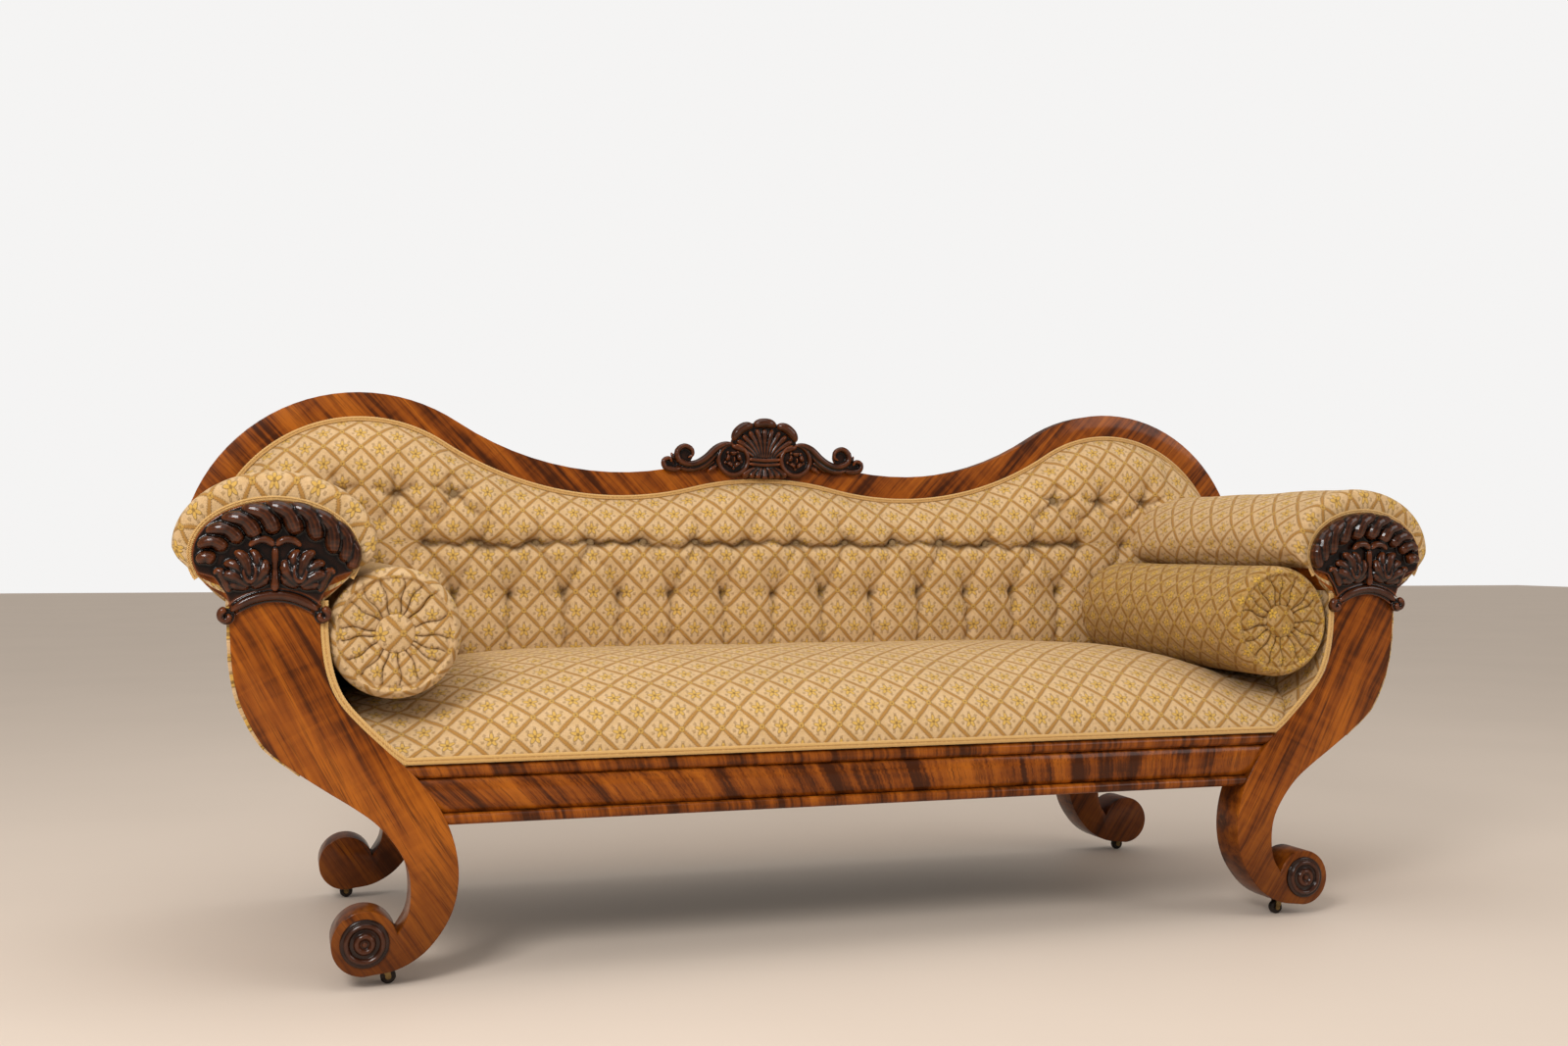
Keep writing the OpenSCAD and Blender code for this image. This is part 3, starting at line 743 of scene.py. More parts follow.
def plain_material(name, base, scale, rough=0.7, metal=0.0, spread=0.35, stretch=(1, 1, 1),
                   relief=0.3):
    """A simple finish with uneven colour and surface: raw wood, jute, wire, brass or iron."""
    if name in bpy.data.materials:
        return bpy.data.materials[name]
    material, g, shader = blank_material(name)
    uneven = g.noise(g.stretched(g.place(), stretch), scale, 4.0, 0.6)
    deep = tuple(c * (1 - spread) for c in base) + (1,)
    pale = tuple(min(1, c * (1 + spread)) for c in base) + (1,)
    g.fill(shader, {"Base Color": g.mix(g.step(uneven, 0.3, 0.7), deep, pale),
                    "Roughness": (rough - 0.1) + uneven * 0.2, "Metallic": metal})
    bump(g, shader, uneven, relief * MM, 0.6)
    return material


# ---- soft goods -------------------------------------------------------------------------------

def puffed(piece, fixed, pressure=4.0, limit=8 * MM, frames=18, slack=0.0):
    """Lets the stuffing press the cover out, with some points held and no point moving far."""
    before = points_of(piece)
    only(piece)
    held = piece.vertex_groups.new(name="held")
    held.add([int(i) for i in np.flatnonzero(fixed)], 1.0, "REPLACE")
    modifier = piece.modifiers.new("cloth", "CLOTH")
    modifier.settings.vertex_group_mass = "held"
    modifier.settings.quality = 5
    modifier.settings.use_pressure = True
    modifier.settings.uniform_pressure_force = pressure
    modifier.settings.shrink_min = -slack
    modifier.settings.tension_stiffness = 20
    modifier.settings.compression_stiffness = 20
    modifier.settings.bending_stiffness = 0.6
    modifier.settings.effector_weights.gravity = 0.0
    modifier.collision_settings.use_collision = False
    modifier.point_cache.frame_start = 1
    modifier.point_cache.frame_end = frames
    scene = bpy.context.scene
    for number in range(1, frames + 1):
        scene.frame_set(number)
    bpy.ops.object.modifier_apply(modifier=modifier.name)
    scene.frame_set(1)
    step = points_of(piece) - before
    far = np.maximum(np.linalg.norm(step, axis=1, keepdims=True), 1e-9)
    step *= np.minimum(1.0, limit / far)
    step[np.isnan(step)] = 0
    move_points(piece, before + step)
    piece.vertex_groups.clear()


def refined(piece):
    """One subdivision, so that the pressed cover is smooth."""
    modified(piece, "SUBSURF", levels=1, render_levels=1, uv_smooth="PRESERVE_BOUNDARIES")


def cushion(piece, material, nodes, body="frame"):
    smooth(piece)
    finish_piece(piece, material, body, nodes)


def button_rows():
    """Where the back's buttons sit: two staggered rows and a short row on each hump."""
    pitch = cloth().button_pitch
    lower = [(i * pitch, 565 * MM) for i in range(-7, 8)]
    upper = [((i + 0.5) * pitch, UPPER_BUTTONS_Z) for i in range(-8, 8)]
    humps = [(side * i * pitch, 752 * MM) for i in (6, 7, 8) for side in (-1, 1)]
    return lower, upper, humps


def crease(x, z, a, b, depth, width):
    """How far a fold from a to b draws the cover in at each point."""
    a, b = np.array(a), np.array(b)
    along = b - a
    t = ramp((x - a[0]) * along[0] + (z - a[1]) * along[1], along @ along)
    far = np.hypot(x - a[0] - t * along[0], z - a[1] - t * along[1])
    return depth * np.exp(-far / width)


def back_folds(x, z):
    """Depth of the folds and dimples of the buttoned back, at each point."""
    lower, upper, humps = button_rows()
    pitch = cloth().button_pitch
    drawn = np.zeros_like(x)
    # the folds wander from side to side, but the buttons stay where they are
    plain_x, plain_z = x, z
    x = plain_x + 2.6 * MM * np.sin(plain_z * 150 + 2 * np.sin(plain_x * 31))
    z = plain_z + 3.4 * MM * np.sin(plain_x * 118 + 2 * np.sin(plain_z * 37))

    def fold(a, b, depth, width, sag=0.0):
        """A fold from a to b, by way of a point that sags below their middle."""
        nonlocal drawn
        middle = ((a[0] + b[0]) / 2, (a[1] + b[1]) / 2 - sag)
        for start, stop in ((a, middle), (middle, b)):
            drawn = np.maximum(drawn, crease(x, z, start, stop, depth, width))

    seam = upper[1:-1]
    for k, (a, b) in enumerate(zip(seam, seam[1:])):
        fold(a, b, (14 + 2 * math.sin(k * 2.7)) * MM, 8 * MM, (5 + 6 * math.sin(k * 1.9)) * MM)
        fold(a, (a[0] + 20 * MM * math.sin(k * 1.3), a[1] + 52 * MM), 7 * MM, 6 * MM)
    for k, a in enumerate(lower):
        fold(a, (a[0] + 5 * MM * math.sin(k * 2.3), 450 * MM), 10 * MM, 6 * MM)
        for b in upper:
            if abs(a[0] - b[0]) < pitch * 0.6:
                fold(a, b, (6.5 + 2.5 * math.sin(k * 1.7 + b[0] * 9)) * MM, 6.5 * MM)
    for a in humps:
        side = 1 if a[0] > 0 else -1
        for turn, reach in ((12, 40), (75, 30), (160, 36), (215, 62), (300, 66)):
            way = math.radians(turn + 14 * math.sin(a[0] * 30))
            tip = (a[0] + side * reach * MM * math.cos(way), a[1] + reach * MM * math.sin(way))
            fold(a, tip, 9 * MM, 6.5 * MM, 3 * MM)
    for point in lower + upper + humps:
        drawn += crease(plain_x, plain_z, point, (point[0] + 1e-5, point[1]), 11 * MM, 11 * MM)
    return drawn


class SOFA_OT_seat(bpy.types.Operator):
    """Make the sprung seat's crowned cushion"""
    bl_idname = "sofa.seat"
    bl_label = "Seat"

    def execute(self, context):
        base, crown = SEAT_BASE_Z, SEAT_CROWN_Z
        y = SEAT_FRONT_Y
        profile = smooth_curve([
            (y + 30 * MM, base), (y + 4 * MM, base), (y, base + 7 * MM), (y, base + 17 * MM),
            (y + 3 * MM, 357 * MM), (y + 12 * MM, 376 * MM), (y + 36 * MM, 403 * MM),
            (y + 88 * MM, 434 * MM), (y + 178 * MM, 461 * MM), (-50 * MM, crown - MM),
            (60 * MM, crown), (170 * MM, 468 * MM), (PAD_Y - 4 * MM, 456 * MM),
            (PAD_Y + 12 * MM, 440 * MM), (PAD_Y + 12 * MM, 390 * MM),
            (PAD_Y + 12 * MM, base)], 10)
        profile = resampled(profile, 84)
        run = run_length(profile)
        cross = smooth_curve([(0, 474), (200, 474), (430, 473), (580, 465), (660, 453),
                              (712, 438), (752, 426), (790, 422), (830, 424)]) * MM
        across = np.linspace(-1, 1, 181)
        columns = []
        for share in across:
            top = np.interp(abs(share) * cross[-1, 0], cross[:, 0], cross[:, 1])
            z = base + (profile[:, 1] - base) * (top - base) / (crown - base)
            half = edge_x(INNER_EDGE, np.maximum(z, base)) - 5 * MM
            columns.append(np.stack([share * half, profile[:, 0], z], 1))
        grid = np.array(columns)
        uv = np.stack([grid[:, :, 0], np.broadcast_to(run, grid.shape[:2])], 2)
        drop = grid[[0, -1]].copy()
        drop[:, :, 2] = base
        grid = np.concatenate([drop[:1], grid, drop[1:]])
        uv = np.concatenate([uv[:1], uv, uv[-1:]])
        seat = surface("seat_cushion", grid, uv)
        co = points_of(seat)
        hem = (co[:, 2] < base + 16 * MM) | (co[:, 1] > PAD_Y) | (np.abs(co[:, 0]) > 0.80)
        puffed(seat, hem, pressure=3.0, limit=5 * MM, frames=14)
        refined(seat)
        co = points_of(seat)
        # the worn top undulates, and gathers along the back and towards the ends
        free = ramp(co[:, 2] - base - 18 * MM, 60 * MM)
        free *= ramp(edge_x(INNER_EDGE, co[:, 2]) - np.abs(co[:, 0]), 60 * MM)
        co[:, 2] += free * (2.2 * MM * ripple(co, 0.16) + 0.9 * MM * ripple(co, 0.045, 1))
        rear = ramp(co[:, 1] - PAD_Y + 45 * MM, 40 * MM)
        gathers = np.sin(co[:, 0] / (11 * MM) + 2.5 * ripple(co, 0.06, 2))
        co[:, 2] += free * rear * 1.6 * MM * gathers
        ends = ramp(np.abs(co[:, 0]) - 0.68, 0.10)
        co[:, 2] += free * ends * 1.8 * MM * np.sin(co[:, 1] / (9 * MM) + 3 * ripple(co, 0.05, 4))
        move_points(seat, co)
        close_openings(seat)
        cushion(seat, trellis_cloth(), ["seat_pad"])
        return {"FINISHED"}


class SOFA_OT_back(bpy.types.Operator):
    """Make the buttoned back and its buttons"""
    bl_idname = "sofa.back"
    bl_label = "Buttoned back"

    def execute(self, context):
        xs = np.linspace(-1.02, 1.02, 271)
        top = crest_z(xs, CREST_FACE)
        # the pad goes down behind the seat, but stops above the arm rolls at its two ends
        foot = np.interp(np.abs(xs), [0, 0.868, 0.905, 1.02], [0.405, 0.405, 0.655, 0.670])
        rows = np.linspace(0, 1, 88)
        x = np.repeat(xs[:, None], len(rows), 1)
        z = foot[:, None] + (top - foot)[:, None] * rows[None, :]
        below = top[:, None] - z
        y = CREST_Y - 2 * MM - (CREST_Y - PAD_Y - 2 * MM) * (1 - np.exp(-below / (38 * MM)))
        grid = np.stack([x, y, z], 2)
        # the seam above the upper buttons swallows a strip of the pattern
        inboard = ramp(0.80 - np.abs(x), 0.08)
        hidden = 9 * MM * np.tanh((z - UPPER_BUTTONS_Z) / (7 * MM)) * inboard
        over = np.zeros_like(z)
        over[:, 1:] = np.cumsum(np.hypot(np.diff(y, axis=1), np.diff(z, axis=1)), 1)
        uv = np.stack([x, foot[:, None] + over + hidden], 2)
        rim = grid[:, [0, -1]].copy()
        rim[:, :, 1] = CREST_Y
        grid = np.concatenate([rim[:, :1], grid, rim[:, 1:]], 1)
        uv = np.concatenate([uv[:, :1], uv, uv[:, -1:]], 1)
        back = surface("back_cushion", grid, uv)
        co = points_of(back)
        spots = np.array(sum(button_rows(), []))
        near = np.min(np.hypot(co[:, 0, None] - spots[:, 0], co[:, 2, None] - spots[:, 1]), 1)
        edge = (co[:, 1] > CREST_Y - 9 * MM) | (co[:, 2] < 0.44)
        puffed(back, edge | (near < 8 * MM), pressure=5.0, limit=9 * MM, frames=16, slack=0.01)
        refined(back)
        co = points_of(back)
        front = ramp(CREST_Y - 6 * MM - co[:, 1], 25 * MM)
        wander_x = co[:, 0] + 3 * MM * ripple(co, 0.05, 5)
        wander_z = co[:, 2] + 4 * MM * ripple(co, 0.045, 6)
        folds = back_folds(wander_x, wander_z)
        pucker = np.exp(-np.abs(co[:, 2] - UPPER_BUTTONS_Z) / (13 * MM)) + 0.35
        loose = 1.5 * MM * ripple(co, 0.014, 7) * pucker + 2.2 * MM * ripple(co, 0.05, 8)
        co[:, 1] += front * (folds * 1.3 - 7 * MM + loose)
        move_points(back, co)
        # the depth of the folds, which the cover's material paints as shade in the creases
        store(back, "fold", ramp(front * folds, 15 * MM))
        close_openings(back)
        cushion(back, trellis_cloth(), ["back_pad"])
        self.make_buttons()
        return {"FINISHED"}

    def make_buttons(self):
        """Small covered domes sunk into the folds."""
        places = [(x, PAD_Y + 20 * MM, z) for x, z in sum(button_rows(), [])]
        piece = domes("covered_buttons", places, 8 * MM, 16, 8, (1, 0.55, 1))
        piece.data.uv_layers[0].name = "cloth"
        smooth(piece)
        finish_piece(piece, trellis_cloth(), nodes=["back_buttons"])


def plank_cover(name, sign, edge, clear, z, y, flip):
    """A cover that follows an edge of the end planks, and that edge's length."""
    x = edge_x(edge, z) + clear
    line = run_length(np.stack([x, z], 1))
    grid = np.stack(np.broadcast_arrays(x[:, None], y[None, :], z[:, None]), 2)
    uv = np.stack(np.broadcast_arrays(y[None, :], line[:, None]), 2)
    return surface(name, mirrored(grid, sign), uv, False, flip), line[-1]


def stretched_cover(piece, thickness, side, node):
    modified(piece, "SOLIDIFY", thickness=thickness, offset=-1.0)
    smooth(piece, 50)
    finish_piece(piece, trellis_cloth(), nodes=[f"{node}_{side}"])


class SOFA_OT_arms(bpy.types.Operator):
    """Make the arm rolls and the covers inside the arms"""
    bl_idname = "sofa.arms"
    bl_label = "Arms"

    def execute(self, context):
        for side, sign in SIDES.items():
            self.roll(side, sign)
            self.inside(side, sign)
        return {"FINISHED"}

    def roll(self, side, sign):
        low_corner, high_corner = ROLL
        centre = np.array([END_X + 100 * MM, 655 * MM])
        rx = high_corner.x - centre[0]
        rise, drop = high_corner.z - centre[1], centre[1] - low_corner.z
        turn = np.linspace(0, 2 * math.pi, 112, endpoint=False)
        oval = np.stack([rx * np.cos(turn),
                         np.where(np.sin(turn) > 0, rise, drop) * np.sin(turn)], 1)
        face = np.stack([HEAD_R[0] * np.cos(turn) + HEAD[0] - centre[0],
                         HEAD_R[1] * np.sin(turn) + HEAD[1] - centre[1]], 1)
        front = low_corner.y
        # (share of the way from the facing to the roll's edge, y)
        ring = [(-0.25, front + 8 * MM), (0.0, front + MM), (0.25, front - 2 * MM),
                (0.55, front - 2 * MM), (0.80, front + 1 * MM), (0.93, front + 7 * MM),
                (1.0, front + 20 * MM)]
        ring = smooth_curve(ring, 3)
        body = [(1.0, y) for y in np.linspace(front + 20 * MM, high_corner.y + 8 * MM, 72)[1:]]
        rows = np.concatenate([ring, body])
        share, y = rows.T
        at = face[:, None] + (oval - face)[:, None] * share[:, None]
        grid = np.stack([centre[0] + at[:, :, 0], np.broadcast_to(y, at.shape[:2]),
                         centre[1] + at[:, :, 1]], 2)
        loop = run_length(np.concatenate([oval, oval[:1]]))
        strides = np.hypot(np.diff(y), np.diff(share) * 32 * MM)
        travelled = np.concatenate([[0], np.cumsum(strides)])
        uv = np.stack(np.broadcast_arrays(loop[:, None], travelled), 2)
        piece = surface(f"arm_roll_cushion_{side}", mirrored(grid, sign), uv, True, sign > 0)
        co = points_of(piece)
        # tacked down at the rear, and round the carved facing at the front
        fixed = (co[:, 1] > high_corner.y - 6 * MM) | (co[:, 1] < front + 4 * MM)
        puffed(piece, fixed, pressure=3.0, limit=5 * MM, frames=14)
        refined(piece)
        co = points_of(piece)
        loose = 2.4 * MM * ripple(co, 0.13, 9 + sign) + 0.7 * MM * ripple(co, 0.03, 11)
        outward = co - np.array([sign * centre[0], 0, centre[1]])
        outward[:, 1] = 0
        outward /= np.maximum(np.linalg.norm(outward, axis=1, keepdims=True), 1e-6)
        body_share = ramp(co[:, 1] - front - 5 * MM, 30 * MM)
        co += outward * (loose * body_share - 1.5 * MM * body_share)[:, None]
        move_points(piece, co)
        close_openings(piece)
        cushion(piece, trellis_cloth(), [f"arm_roll_{side}"])

    def inside(self, side, sign):
        """The lining that runs from the seat up to the roll, behind the bolster."""
        z = np.linspace(SEAT_BASE_Z + 3 * MM, 612 * MM, 48)
        y = np.linspace(FRONT_Y + 2 * MM, PAD_Y + 6 * MM, 72)
        name = f"inside_arm_cover_{side}"
        piece, rise = plank_cover(name, sign, INNER_EDGE, -5 * MM, z, y, sign < 0)
        co = points_of(piece)
        co[:, 0] += sign * 1.6 * MM * ripple(co, 0.05, 12 + sign)
        move_points(piece, co)
        stretched_cover(piece, 3 * MM, side, "inside_arm")


class SOFA_OT_outside_covers(bpy.types.Operator):
    """Make the covers on the outside of the arms and the back"""
    bl_idname = "sofa.outside_covers"
    bl_label = "Outside covers"

    def execute(self, context):
        for side, sign in SIDES.items():
            z = np.linspace(318 * MM, 622 * MM, 52)
            y = np.linspace(FRONT_Y + 4 * MM, high(f"outside_arm_{side}").y, 110)
            name = f"outside_arm_cover_{side}"
            piece, rise = plank_cover(name, sign, OUTER_EDGE, 5 * MM, z, y, sign > 0)
            co = points_of(piece)
            frayed = np.exp(-(co[:, 1] - FRONT_Y) / (9 * MM))
            co[:, 0] += sign * 1.8 * MM * ripple(co, 0.02, 14) * frayed
            co[:, 0] += sign * 1.0 * MM * ripple(co, 0.10, 15)
            move_points(piece, co)
            stretched_cover(piece, 5.4 * MM, side, "outside_arm")
        self.back_cover()
        return {"FINISHED"}

    def back_cover(self):
        piece = copied("outside_back", "outside_back_cover")
        eased(piece, 1.2 * MM)
        flat_cloth(piece)
        finish_piece(piece, trellis_cloth(), nodes=["outside_back"])


class SOFA_OT_bolsters(bpy.types.Operator):
    """Make the two bolsters with their gathered, piped and buttoned ends"""
    bl_idname = "sofa.bolsters"
    bl_label = "Bolsters"

    def execute(self, context):
        for side, sign in SIDES.items():
            golden = 0.85 if side == "right" else 0.0
            material = trellis_cloth(f"bolster cover {side}", golden)
            self.bolster(side, sign, material)
            self.buttons(side, sign, material)
        return {"FINISHED"}

    def shape(self):
        """The middle, radius, front and rear of the right-hand bolster."""
        lo, hi = BOLSTER
        radius = (hi.z - lo.z) / 2
        return (lo.x + hi.x) / 2, (lo.z + hi.z) / 2, radius, lo.y, hi.y

    def bolster(self, side, sign, material):
        cx, cz, radius, front, rear = self.shape()
        # (radius, distance in from the end) from the button out over the piped rim
        end = [(10, 10), (26, 9), (30, 5), (40, 2.5), (60, 1.5), (76, 2.5), (81, 5),
               (84, 2.2), (87.5, 0.6), (91, 3.2), (93, 6), (97, 12), (98.8, 22)]
        end = smooth_curve(end, 3) * MM
        end[:, 0] *= radius / (99 * MM)
        body = np.linspace(front + end[-1, 1], rear - end[-1, 1], 60)[1:-1]
        rows = ([(r, front + d) for r, d in end] + [(radius, y) for y in body]
                + [(r, rear - d) for r, d in end[::-1]])
        rows = np.array(rows)
        # the end disc and the side are two pieces of cloth, which meet at the piping
        seam = int(np.argmax(rows[:, 0] > 85.5 * MM))
        other = len(rows) - 1 - seam
        rows = np.insert(rows, [seam + 1, other], rows[[seam, other]], axis=0)
        count = 144
        turn = np.linspace(0, 2 * math.pi, count, endpoint=False)
        ring_x, ring_z = rows[:, 0] * np.cos(turn)[:, None], rows[:, 0] * np.sin(turn)[:, None]
        grid = np.stack([cx + ring_x, np.broadcast_to(rows[:, 1], ring_x.shape), cz + ring_z], 2)
        around = np.linspace(0, 2 * math.pi, count + 1)
        uv = np.stack(np.broadcast_arrays((around * radius)[:, None], run_length(rows)), 2)
        flat = np.arange(len(rows))
        flat = (flat <= seam) | (flat >= len(rows) - 1 - seam)
        # the pleats take up a quarter more cloth than the disc is across
        gathered = 1.25
        uv[:, flat, 0] = gathered * np.cos(around)[:, None] * rows[flat, 0]
        uv[:, flat, 1] = gathered * np.sin(around)[:, None] * rows[flat, 0]
        piece = surface(f"bolster_cushion_{side}", mirrored(grid, sign), uv, True, sign > 0)
        with editing(piece):
            bpy.ops.mesh.remove_doubles(threshold=WELD)
        co = points_of(piece)
        ends = (co[:, 1] < front + 24 * MM) | (co[:, 1] > rear - 24 * MM)
        puffed(piece, ends, pressure=3.0, limit=2.5 * MM, frames=12)
        refined(piece)
        self.gather(piece, side, sign)
        close_openings(piece)
        cushion(piece, material, [f"bolster_{side}"], f"bolster_{side}")

    def gather(self, piece, side, sign):
        """Draws the ends in with pleats that run from the button to the piped rim."""
        cx, cz, radius, front, rear = self.shape()
        co = points_of(piece)
        seed = 3 if side == "left" else 8
        rng = np.random.default_rng(seed)
        pleats = cloth().pleats
        depth = np.zeros(len(co))
        for end_y, way in ((front, 1), (rear, -1)):  # way points into the bolster
            depth_in = (co[:, 1] - end_y) * way
            x, z = co[:, 0] - sign * cx, co[:, 2] - cz
            r = np.hypot(x, z)
            angle = np.arctan2(z, x)
            disc = (depth_in < 14 * MM) & (r < 86 * MM)
            held = ramp(r - 24 * MM, 8 * MM) * ramp(84 * MM - r, 7 * MM)
            starts = (np.arange(pleats) + rng.uniform(-0.28, 0.28, pleats)) * 2 * math.pi / pleats
            lean = rng.uniform(-0.10, 0.10, pleats)
            drawn = np.zeros(len(co))
            between = np.full(len(co), 9.0)
            for start, bend in zip(starts, lean):
                line = start + bend * (r / (60 * MM) - 1) + 0.035 * np.sin(r / (7 * MM) + start * 5)
                off = np.abs((angle - line + math.pi) % (2 * math.pi) - math.pi) * r
                drawn = np.maximum(drawn, np.exp(-off / (1.6 * MM)))
                between = np.minimum(between, off)
            puff = 1.8 * MM * np.tanh(between / (5 * MM)) + 1.2 * MM * ripple(co, 0.02, seed + 2)
            inward = way * held * (6.0 * MM * drawn - puff + 1.0 * MM)
            co[:, 1] += np.where(disc, inward, 0)
            depth += np.where(disc, held * drawn, 0)
        along = ramp(co[:, 1] - front - 20 * MM, 20 * MM)
        along *= ramp(rear - 20 * MM - co[:, 1], 20 * MM)
        slack = 1.2 * MM * ripple(co, 0.09, seed) + 0.5 * MM * ripple(co, 0.022, seed + 1)
        scale = 1 + (slack - 0.8 * MM) * along / radius
        co[:, 0] = sign * cx + (co[:, 0] - sign * cx) * scale
        co[:, 2] = cz + (co[:, 2] - cz) * scale
        move_points(piece, co)
        # the depth of the pleats, which the cover's material paints as shade in the pleats
        store(piece, "fold", np.clip(depth, 0, 1))

    def buttons(self, side, sign, material):
        """A padded disc at each end."""
        cx, cz, _, front, rear = self.shape()
        places = [(sign * cx, y, cz) for y in (front + 7 * MM, rear - 7 * MM)]
        piece = domes(f"bolster_end_buttons_{side}", places, 29 * MM, 48, 16, (1, 1, 0.24),
                      math.pi / 2)
        co = points_of(piece)
        co[:, 1] += 0.8 * MM * ripple(co, 0.018, 21)
        move_points(piece, co)
        flat_cloth(piece)
        smooth(piece)
        finish_piece(piece, material, f"bolster_{side}", [f"bolster_buttons_{side}"])


# ---- braids -------------------------------------------------------------------------------------

def braid_strip(name, path, width, y, thick=3.0 * MM):
    """A plaited braid laid on a front face along a path in the XZ plane."""
    total = run_length(path)[-1]
    path = resampled(path, int(total / (1.7 * MM)))
    run = run_length(path)
    tangent = np.gradient(path, axis=0)
    tangent /= np.linalg.norm(tangent, axis=1, keepdims=True)
    across = np.stack([-tangent[:, 1], tangent[:, 0]], 1)
    lanes = np.linspace(-1, 1, 9)
    grid = np.zeros((len(path), len(lanes) + 2, 3))
    uv = np.zeros((len(path), len(lanes) + 2, 2))
    for k, lane in enumerate(lanes):
        cords = 0.55 + 0.45 * abs(math.sin(lane * 1.5 * math.pi))
        plait = 0.8 + 0.2 * np.sin(run / (1.9 * MM) * math.pi + lane * 5)
        scallop = np.ones(len(run))
        if abs(lane) > 0.9:
            scallop += 0.07 * np.sin(run / (2.6 * MM) * math.pi)
        at = path + across * (lane * width / 2 * scallop)[:, None]
        grid[:, k + 1, 0] = at[:, 0]
        grid[:, k + 1, 1] = y - thick * (0.35 if abs(lane) > 0.9 else cords * plait)
        grid[:, k + 1, 2] = at[:, 1]
        uv[:, k + 1] = np.stack([run, np.full(len(run), lane * width / 2)], 1)
    for k, j in ((0, 1), (len(lanes) + 1, len(lanes))):
        grid[:, k] = grid[:, j]
        grid[:, k, 1] = y
        uv[:, k] = uv[:, j]
    return surface(name, grid, uv)


class SOFA_OT_braids(bpy.types.Operator):
    """Lay the gimp braid round the seat, the arm facings and the back"""
    bl_idname = "sofa.braids"
    bl_label = "Braids"

    def execute(self, context):
        y = SEAT_FRONT_Y
        z = high("front_seat_rail").z + 7.5 * MM
        edge = INNER_EDGE[(INNER_EDGE[:, 1] > z + 1 * MM) & (INNER_EDGE[:, 1] < 0.60)]
        rise = edge[::-1] - [5.5 * MM, 0]
        corner = np.array([[edge_x(INNER_EDGE, z) - 9 * MM, z]])
        right = np.concatenate([corner, rise[2:]])
        left = right[::-1] * [-1, 1]
        seat = braid_strip("seat_braid_trim", np.concatenate([left, right]), 11 * MM, y)
        arms = []
        for sign in SIDES.values():
            ring = ellipse(*HEAD, HEAD_R[0] + 4 * MM, HEAD_R[1] + 4 * MM, 205, -25, 90)
            arms.append(braid_strip(f"arm_{sign}", ring * [sign, 1], 8 * MM, y))
        half = crest_half(CREST_FACE - 5 * MM)
        half = half[(half[:, 1] > 0.72) | (half[:, 0] < 0.9)]
        line = np.concatenate([half[::-1] * [-1, 1], half[1:]])
        back = braid_strip("back_braid_trim", line, 9 * MM, CREST_Y)
        for piece, node in ((seat, "seat_braid"), (joined("arm_braid_trim", arms), "arm_braids"),
                            (back, "back_braid")):
            close_openings(piece)
            face_outwards(piece)
            smooth(piece, 60)
            finish_piece(piece, gimp_braid(), nodes=[node])
        return {"FINISHED"}


# ---- show wood --------------------------------------------------------------------------------

def along_plank(co):
    """Grain that leans in from the head to the foot of an end plank, with a slight wave."""
    lean = math.radians(64)
    x, z = np.abs(co[:, 0]) - END_X, co[:, 2]
    along = x * math.cos(lean) + z * math.sin(lean)
    across = -x * math.sin(lean) + z * math.cos(lean)
    across += 16 * MM * np.sin(along * 9) + 0.10 * along * np.sin(along * 3)
    side = np.where(co[:, 0] > 0, 3.7, 0.0)
    return np.stack([along + side, across + side, co[:, 1]], 1)


def slanting(degrees, mirror=False, shift=0.0):
    """Grain laid across a rail at an angle, leaning outwards from the middle if mirrored."""
    tilt = math.radians(degrees)

    def grain(co):
        x = -np.abs(co[:, 0]) if mirror else co[:, 0]
        along = x * math.cos(tilt) + co[:, 2] * math.sin(tilt)
        across = -x * math.sin(tilt) + co[:, 2] * math.cos(tilt)
        return np.stack([along + shift, across + np.where(co[:, 0] > 0, 1.3, 0), co[:, 1]], 1)
    return grain


class SOFA_OT_end_planks(bpy.types.Operator):
    """Finish the four S-shaped end planks"""
    bl_idname = "sofa.end_planks"
    bl_label = "End planks"

    def execute(self, context):
        material = polished_wood("polished mahogany", band=0.050, darkness=0.42)
        for end in ("front", "rear"):
            for side in SIDES:
                node = f"{end}_leg_{side}"
                piece = copied(node, f"{end}_end_plank_{side}")
                eased(piece, 2.2 * MM, 40)
                store(piece, "grain", along_plank(points_of(piece)), "FLOAT_VECTOR")
                finish_piece(piece, material, nodes=[node])
        return {"FINISHED"}


class SOFA_OT_rails(bpy.types.Operator):
    """Finish the front rail's mouldings and the crest rail"""
    bl_idname = "sofa.rails"
    bl_label = "Rails"

    def execute(self, context):
        veneer = ("crossbanded veneer", "crossbanded_veneer")
        bead = ("crossbanded beads", "polished_mahogany")
        jobs = [("rail_face_panel", slanting(-38, True), veneer, 0.046),
                ("rail_top_bead", slanting(-82, shift=2), bead, 0.10),
                ("rail_bottom_bead", slanting(-82, shift=5), bead, 0.10),
                ("crest_rail", slanting(-47, True), veneer, 0.035)]
        for node, grain, (finish, slot), band in jobs:
            piece = copied(node, node + "_show")
            eased(piece, 1.2 * MM, 50)
            modified(piece, "TRIANGULATE")
            store(piece, "grain", grain(points_of(piece)), "FLOAT_VECTOR")
            finish_piece(piece, polished_wood(finish, band, 0.55), nodes=[node])
        return {"FINISHED"}


# ---- carving -----------------------------------------------------------------------------------

